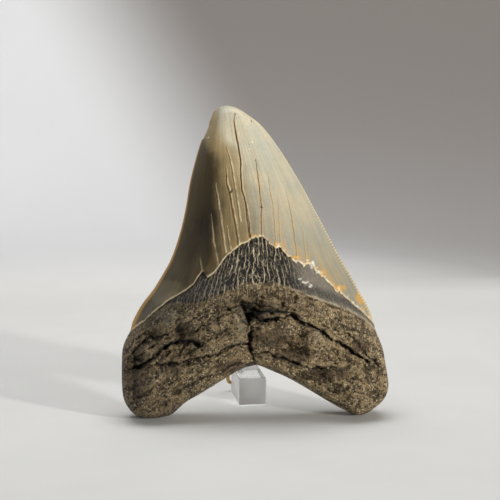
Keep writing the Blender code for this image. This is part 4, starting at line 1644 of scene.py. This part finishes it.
@dataclass(frozen=True)
class AcrylicFinish:
    """Clear acrylic bar: polished sides, satin saw-cut ends tinted grey as painted shade, a little dust.

    Attributes:
        clear: Its colour.
        dust: The colour of the dust on it.
        shaded_ends: The grey of its cut ends, painted shade.
        ior: How strongly it bends light.
        satin: Roughness of the cut ends.
    """

    clear: Colour = (0.985, 0.99, 0.985)
    dust: Colour = (0.90, 0.90, 0.89)
    shaded_ends: Colour = (0.57, 0.565, 0.55)
    ior: float = 1.49
    satin: float = 0.45

    def build(self, effects: Effects) -> bpy.types.Material:
        """Builds the see-through finish.

        Args:
            effects: The shared effects.

        Returns:
            The material.
        """
        material, g, shader = new_finish("clear_acrylic")
        place = g.place_in_mm()
        scuffs = g.effect(effects.streaks, Place=place, Pitch=0.35, Length=9.0)
        specks = g.effect(effects.specks, Place=place, Pitch=2.2, Radius=0.12, Share=0.35)
        normal = g.parts(g.node("NewGeometry").outputs["Normal"])
        facing, upward = (g.math("ABSOLUTE", normal[axis]) for axis in (1, 2))
        cut = g.times(g.span(upward, 0.90, 0.40), self.satin)
        fine = g.times(g.span(scuffs.outputs["Fine"], 0.75, 1.0), 0.05)
        dusty = g.ramp(specks.outputs["Mask"], 0.30, 0.02)
        g.put(shader.inputs["Roughness"], g.math("ADD", g.math("ADD", fine, dusty), cut))
        # painted shade: the cut ends are tinted grey
        body = g.mix(g.span(facing, 0.80, 0.97), self.clear, self.shaded_ends)
        g.put(shader.inputs["Base Color"], g.mix(specks.outputs["Mask"], body, self.dust))
        shader.inputs["Transmission Weight"].default_value = 1.0
        shader.inputs["IOR"].default_value = self.ior
        passing = g.node("BsdfTransparent", {"Color": self.clear})
        to_lamps = g.node("LightPath").outputs["Is Shadow Ray"]
        g.show(g.node("MixShader", {0: to_lamps, 1: shader.outputs[0], 2: passing.outputs[0]}))
        return material


@dataclass(frozen=True)
class BrassFinish:
    """Drawn brass rod, a little tarnished.

    Attributes:
        bright: The clean brass.
        tarnish: Its tarnished clouds.
    """

    bright: Colour = tint(214, 178, 122)
    tarnish: Colour = tint(150, 116, 72)

    def build(self, effects: Effects) -> bpy.types.Material:
        """Builds the metal finish.

        Args:
            effects: The shared effects.

        Returns:
            The material.
        """
        material, g, shader = new_finish("brass")
        place = g.place_in_mm()
        stains = g.effect(effects.mottling, Place=place, Cloud=3.0, Grain=0.5)
        lines = g.effect(effects.streaks, Place=place, Pitch=0.15, Length=6.0)
        share = g.times(stains.outputs["Cloud"], 0.6)
        g.put(shader.inputs["Base Color"], g.mix(share, self.bright, self.tarnish))
        g.put(shader.inputs["Roughness"], g.ramp(stains.outputs["Cloud"], 0.2, 0.25))
        height = g.math("ADD", lines.outputs["Fine"], g.times(stains.outputs["Grain"], 0.5))
        g.put(shader.inputs["Normal"], g.bumped(height, 0.4, 0.03))
        shader.inputs["Metallic"].default_value = 1.0
        return material


@dataclass(frozen=True)
class PaperFinish:
    """Matt paper for the floor. Up the wall it turns grey as painted shade, except at the left, where it
    stays pale as painted light.

    From behind it is clear, so that the wall hides nothing in a view from the back.

    Attributes:
        paper: The floor.
        shade: Its faint clouds.
        grey: The wall's painted shade.
        cool: The wall's cooler, darker foot, part of its painted shade.
        heights: How far the painted shade has set in, from 0 to 1, at heights in mm.
        tilt: How much lower each mm further right reads on the wall.
        level_at: Place across where it isn't lowered, in mm.
        painted_light_edge: Places across the wall, leaning with its height, over which the painted shade sets
            in; to their left the wall stays pale as painted light.
    """

    paper: Colour = tint(232, 232, 230)
    shade: Colour = tint(228, 228, 226)
    grey: Colour = tint(126, 121, 117)
    cool: Colour = tint(200, 201, 206)
    heights: tuple[tuple[float, float], ...] = (
        (0.0, 0.0), (3.0, 0.14), (6.0, 0.20), (10.0, 0.27), (15.0, 0.46), (19.0, 0.60), (32.0, 0.76),
        (170.0, 1.0),
    )
    tilt: float = 0.1
    level_at: float = 38.0
    painted_light_edge: tuple[float, float] = (-70.0, 46.0)

    def build(self, effects: Effects) -> bpy.types.Material:
        """Builds the paper with its painted shade and painted light.

        Args:
            effects: The shared effects.

        Returns:
            The material.
        """
        material, g, shader = new_finish("paper_with_painted_falloff")
        place = g.place_in_mm()
        fibres = g.effect(effects.mottling, Place=place, Cloud=90.0, Grain=1.5)
        across, _, up = g.parts(place)
        slope = g.times(g.span(up, 0.2, 4.0), self.tilt)
        raised = g.ramp(g.math("SUBTRACT", across, self.level_at), slope, up)
        top = self.heights[-1][0]
        painted_falloff = g.node("FloatCurve", {"Value": g.math("DIVIDE", raised, top)})
        points = painted_falloff.mapping.curves[0].points
        for spot, (height, share) in zip(points, (self.heights[0], self.heights[-1])):
            spot.location = (height / top, share)
        for height, share in self.heights[1:-1]:
            points.new(height / top, share)
        painted_falloff.mapping.update()
        slant = g.ramp(up, 0.6, g.math("SUBTRACT", across, 36.0))
        # painted shade up the wall, kept off the left part as painted light
        share = g.times(painted_falloff.outputs[0], g.span(slant, *self.painted_light_edge))
        pale = g.mix(fibres.outputs["Cloud"], self.paper, self.shade)
        # painted shade: the wall's foot turns cooler and darker
        pale = g.mix(g.times(g.span(up, 0.0, 16.0), 0.48), pale, self.cool)
        g.put(shader.inputs["Base Color"], g.mix(share, pale, self.grey))
        g.put(shader.inputs["Roughness"], g.ramp(fibres.outputs["Grain"], 0.1, 0.75))
        shader.inputs["Specular IOR Level"].default_value = 0.15
        behind = g.node("NewGeometry").outputs["Backfacing"]
        clear = g.node("BsdfTransparent")
        g.show(g.node("MixShader", {0: behind, 1: shader.outputs[0], 2: clear.outputs[0]}))
        return material


# ---- the stand -----------------------------------------------------------------------------------------


@dataclass
class Stand:
    """A clear foot under the arch of the root and a thin rod that rises behind the tooth.

    Attributes:
        foot_front: Middle of the foot's front edge on the ground, in mm.
        foot_turn: How far the foot is turned, in radians.
        foot_length: Its length in mm.
        rod_radius: The rod's radius in mm.
        socket: How deep the rod sits in the foot, in mm.
        back_run: How far it runs on behind the foot, in mm.
        offset: How far it lies to the right of the foot's middle, in mm.
        low_height: Height of its low run, in mm.
        side: Where it rises, in mm to the right of the middle.
        rest_height: Height of its level rest, in mm.
        rest_end: Where the rest ends, in mm to the right of the middle.
        bend: Radius of its bends, in mm.
        shrink: Scale of its radius that keeps it inside the plain solid.
    """

    foot_front: tuple[float, float] = (0.0, 3.88)
    foot_turn: float = math.radians(4.5)
    foot_length: float = 25.8
    rod_radius: float = 0.8
    socket: float = 4.7
    back_run: float = 3.2
    offset: float = -2.4
    low_height: float = 3.5
    side: float = -9.4
    rest_height: float = 57.0
    rest_end: float = 13.0
    bend: float = 2.0
    shrink: float = 0.99

    def foot_place(self, x: float, y: float) -> Vector:
        """World place in mm of a point of the turned foot, at the height of the rod's socket.

        Args:
            x: Place across the foot, in mm.
            y: Place along it, in mm.

        Returns:
            The place.
        """
        cos, sin = math.cos(self.foot_turn), math.sin(self.foot_turn)
        front_x, front_y = self.foot_front
        return Vector((front_x + x * cos - y * sin, front_y + x * sin + y * cos, self.low_height))

    def rounded(self, corners: Sequence[Vector], steps: int = 14) -> list[Vector]:
        """Rounds the corners of the rod's path.

        Args:
            corners: The path's corners in mm.
            steps: Steps around each bend.

        Returns:
            The smooth path.
        """
        path = [corners[0]]
        for before, corner, after in zip(corners, corners[1:], corners[2:]):
            back, ahead = (before - corner).normalized(), (after - corner).normalized()
            half = back.angle(ahead) / 2
            inset = self.bend / math.tan(half)
            centre = corner + (back + ahead).normalized() * self.bend / math.sin(half)
            start, end = corner + back * inset - centre, corner + ahead * inset - centre
            sweep = start.angle(end)
            for step in range(steps + 1):
                share = step / steps
                first, second = math.sin((1 - share) * sweep), math.sin(share * sweep)
                path.append(centre + (start * first + end * second) / math.sin(sweep))
        return [*path, corners[-1]]

    def build_rod(self, finish: bpy.types.Material) -> bpy.types.Object:
        """Draws the rod again as a smooth tube on the plain solid's path.

        Args:
            finish: The brass.

        Returns:
            The rod.
        """
        turn = self.foot_place(self.offset, self.foot_length + self.back_run)
        rest_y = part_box("stand_rod")[0].y / MM + self.rod_radius
        corners = [
            self.foot_place(self.offset, self.foot_length - self.socket),
            turn,
            Vector((self.side, turn.y, self.low_height)),
            Vector((self.side, rest_y, self.rest_height)),
            Vector((self.rest_end, rest_y, self.rest_height)),
        ]
        path = self.rounded(corners)
        curve = bpy.data.curves.new("rod_path", "CURVE")
        curve.dimensions = "3D"
        curve.bevel_depth = self.rod_radius * self.shrink * MM
        curve.bevel_resolution = 6
        curve.use_fill_caps = True
        spline = curve.splines.new("POLY")
        spline.points.add(len(path) - 1)
        for point, place in zip(spline.points, path):
            point.co = (*(place * MM), 1.0)
        holder = bpy.data.objects.new("rod_path", curve)
        bpy.context.scene.collection.objects.link(holder)
        bpy.context.view_layer.update()
        mesh = bpy.data.meshes.new_from_object(holder.evaluated_get(bpy.context.evaluated_depsgraph_get()))
        bpy.data.objects.remove(holder)
        mesh.materials.clear()
        mesh.materials.append(finish)
        mesh.shade_smooth()
        rod = bpy.data.objects.new("brass_rod", mesh)
        bpy.context.scene.collection.objects.link(rod)
        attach(rod, BODY)
        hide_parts("stand_rod")
        return rod

    def dress_foot(self, foot: bpy.types.Object, finish: bpy.types.Material) -> bpy.types.Object:
        """Gives the foot's own solid its finish.

        Args:
            foot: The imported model's foot.
            finish: The acrylic.

        Returns:
            The foot.
        """
        for holder in foot.material_slots:
            holder.material = finish
        return foot


# ---- the studio ------------------------------------------------------------------------------------------


@dataclass(frozen=True)
class Softbox:
    """A soft light.

    Attributes:
        name: Its name.
        place: Where it hangs, in mm.
        target: What it looks at, in mm.
        size: Its width and height in mm.
        watts: Its power.
        colour: Its colour.
    """

    name: str
    place: tuple[float, float, float]
    target: tuple[float, float, float]
    size: tuple[float, float]
    watts: float
    colour: Colour = (1.0, 1.0, 1.0)

    def build(self) -> bpy.types.Object:
        """Hangs the light.

        Returns:
            The light.
        """
        lamp = bpy.data.lights.new(self.name, "AREA")
        lamp.shape = "RECTANGLE"
        lamp.size, lamp.size_y = self.size[0] * MM, self.size[1] * MM
        lamp.energy = self.watts
        lamp.color = self.colour
        light = bpy.data.objects.new(self.name, lamp)
        light.location = Vector(self.place) * MM
        aim = (Vector(self.target) - Vector(self.place)).to_track_quat("-Z", "Y")
        light.rotation_euler = aim.to_euler()
        light.visible_camera = False
        bpy.context.scene.collection.objects.link(light)
        return light


@dataclass
class Studio:
    """Pale sweep, soft lights and camera.

    Attributes:
        eye: The camera's place in mm.
        heading: How far it looks to the right of straight ahead, in degrees.
        pitch: How far it looks down, in degrees.
        lens: Its lens in mm.
        sensor: Its sensor's width in mm.
        wall_start: Where the floor starts to bend up, in mm behind the middle.
        wall_bend: Radius of that bend, in mm.
        wall_top: Height of the wall in mm.
        floor_gap: How far the floor lies under the object, in mm.
        reach: How far it reaches to the front and to both sides, in mm.
        lights: The soft lights.
        ambient: Strength of the room's even light.
    """

    eye: tuple[float, float, float] = (-63.8, -1020.7, 250.2)
    heading: float = 3.5
    pitch: float = 10.0
    lens: float = 172.8
    sensor: float = 36.0
    wall_start: float = 240.0
    wall_bend: float = 260.0
    wall_top: float = 1600.0
    floor_gap: float = 0.15
    reach: float = 3600.0
    lights: tuple[Softbox, ...] = (
        Softbox("overhead", (-20.0, 105.0, 760.0), (0.0, 0.0, 0.0), (780.0, 620.0), 4.3),
        Softbox("key", (1180.0, -1180.0, 324.0), (0.0, 0.0, 60.0), (115.0, 115.0), 21.5, (1.0, 0.985, 0.955)),
        Softbox(
            "wall_glow", (-270.0, 300.0, 80.0), (-200.0, 500.0, 235.0), (160.0, 80.0), 0.08, (0.94, 0.97, 1.0)
        ),
    )
    ambient: float = 0.14

    def build_sweep(self, finish: bpy.types.Material, steps: int = 24) -> bpy.types.Object:
        """Lays the floor and bends it up into the wall behind.

        Args:
            finish: The floor's finish.
            steps: Steps around the bend.

        Returns:
            The sweep.
        """
        profile = [(-self.reach, 0.0), (self.wall_start, 0.0)]
        for step in range(1, steps + 1):
            angle = math.radians(90.0) * step / steps
            reach, rise = math.sin(angle) * self.wall_bend, (1.0 - math.cos(angle)) * self.wall_bend
            profile.append((self.wall_start + reach, rise))
        profile.append((self.wall_start + self.wall_bend, self.wall_top))
        body = bmesh.new()
        rows = [
            [body.verts.new((x * MM, y * MM, (z - self.floor_gap) * MM)) for x in (-self.reach, self.reach)]
            for y, z in profile
        ]
        for (a, b), (c, d) in zip(rows, rows[1:]):
            body.faces.new((a, b, d, c))
        mesh = bpy.data.meshes.new("sweep")
        body.to_mesh(mesh)
        body.free()
        mesh.shade_smooth()
        mesh.materials.append(finish)
        sweep = bpy.data.objects.new("sweep", mesh)
        bpy.context.scene.collection.objects.link(sweep)
        return sweep

    def light_up(self) -> None:
        """Hangs the softboxes and sets the room's dim even light."""
        for light in self.lights:
            light.build()
        world = bpy.data.worlds.new("room")
        world.use_nodes = True
        background = world.node_tree.nodes["Background"].inputs
        background["Color"].default_value = (1.0, 1.0, 1.0, 1.0)
        background["Strength"].default_value = self.ambient
        bpy.context.scene.world = world
        bpy.context.scene.view_settings.view_transform = "Standard"

    def place_camera(self) -> bpy.types.Object:
        """Sets up the camera.

        Returns:
            The camera.
        """
        data = bpy.data.cameras.new("camera")
        data.lens, data.sensor_width = self.lens, self.sensor
        data.clip_start, data.clip_end = 0.05, 20.0
        camera = bpy.data.objects.new("camera", data)
        camera.location = Vector(self.eye) * MM
        camera.rotation_euler = (math.radians(90.0 - self.pitch), 0.0, -math.radians(self.heading))
        bpy.context.scene.collection.objects.link(camera)
        bpy.context.scene.camera = camera
        return camera


def main() -> None:
    """Builds the tooth, dresses the stand and sets up the studio."""
    logging.basicConfig(level=logging.INFO, format="%(message)s")
    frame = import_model()
    effects = Effects()
    tooth = Tooth().build(FossilFinish().build(effects))
    LOG.info("%s: %d faces", tooth.name, len(tooth.data.polygons))
    stand = Stand()
    foot = stand.dress_foot(frame["nodes"]["stand_foot"], AcrylicFinish().build(effects))
    LOG.info("%s: dressed", foot.name)
    rod = stand.build_rod(BrassFinish().build(effects))
    LOG.info("%s: %d faces", rod.name, len(rod.data.polygons))
    studio = Studio()
    studio.build_sweep(PaperFinish().build(effects))
    studio.light_up()
    studio.place_camera()


if __name__ == "__main__":
    main()
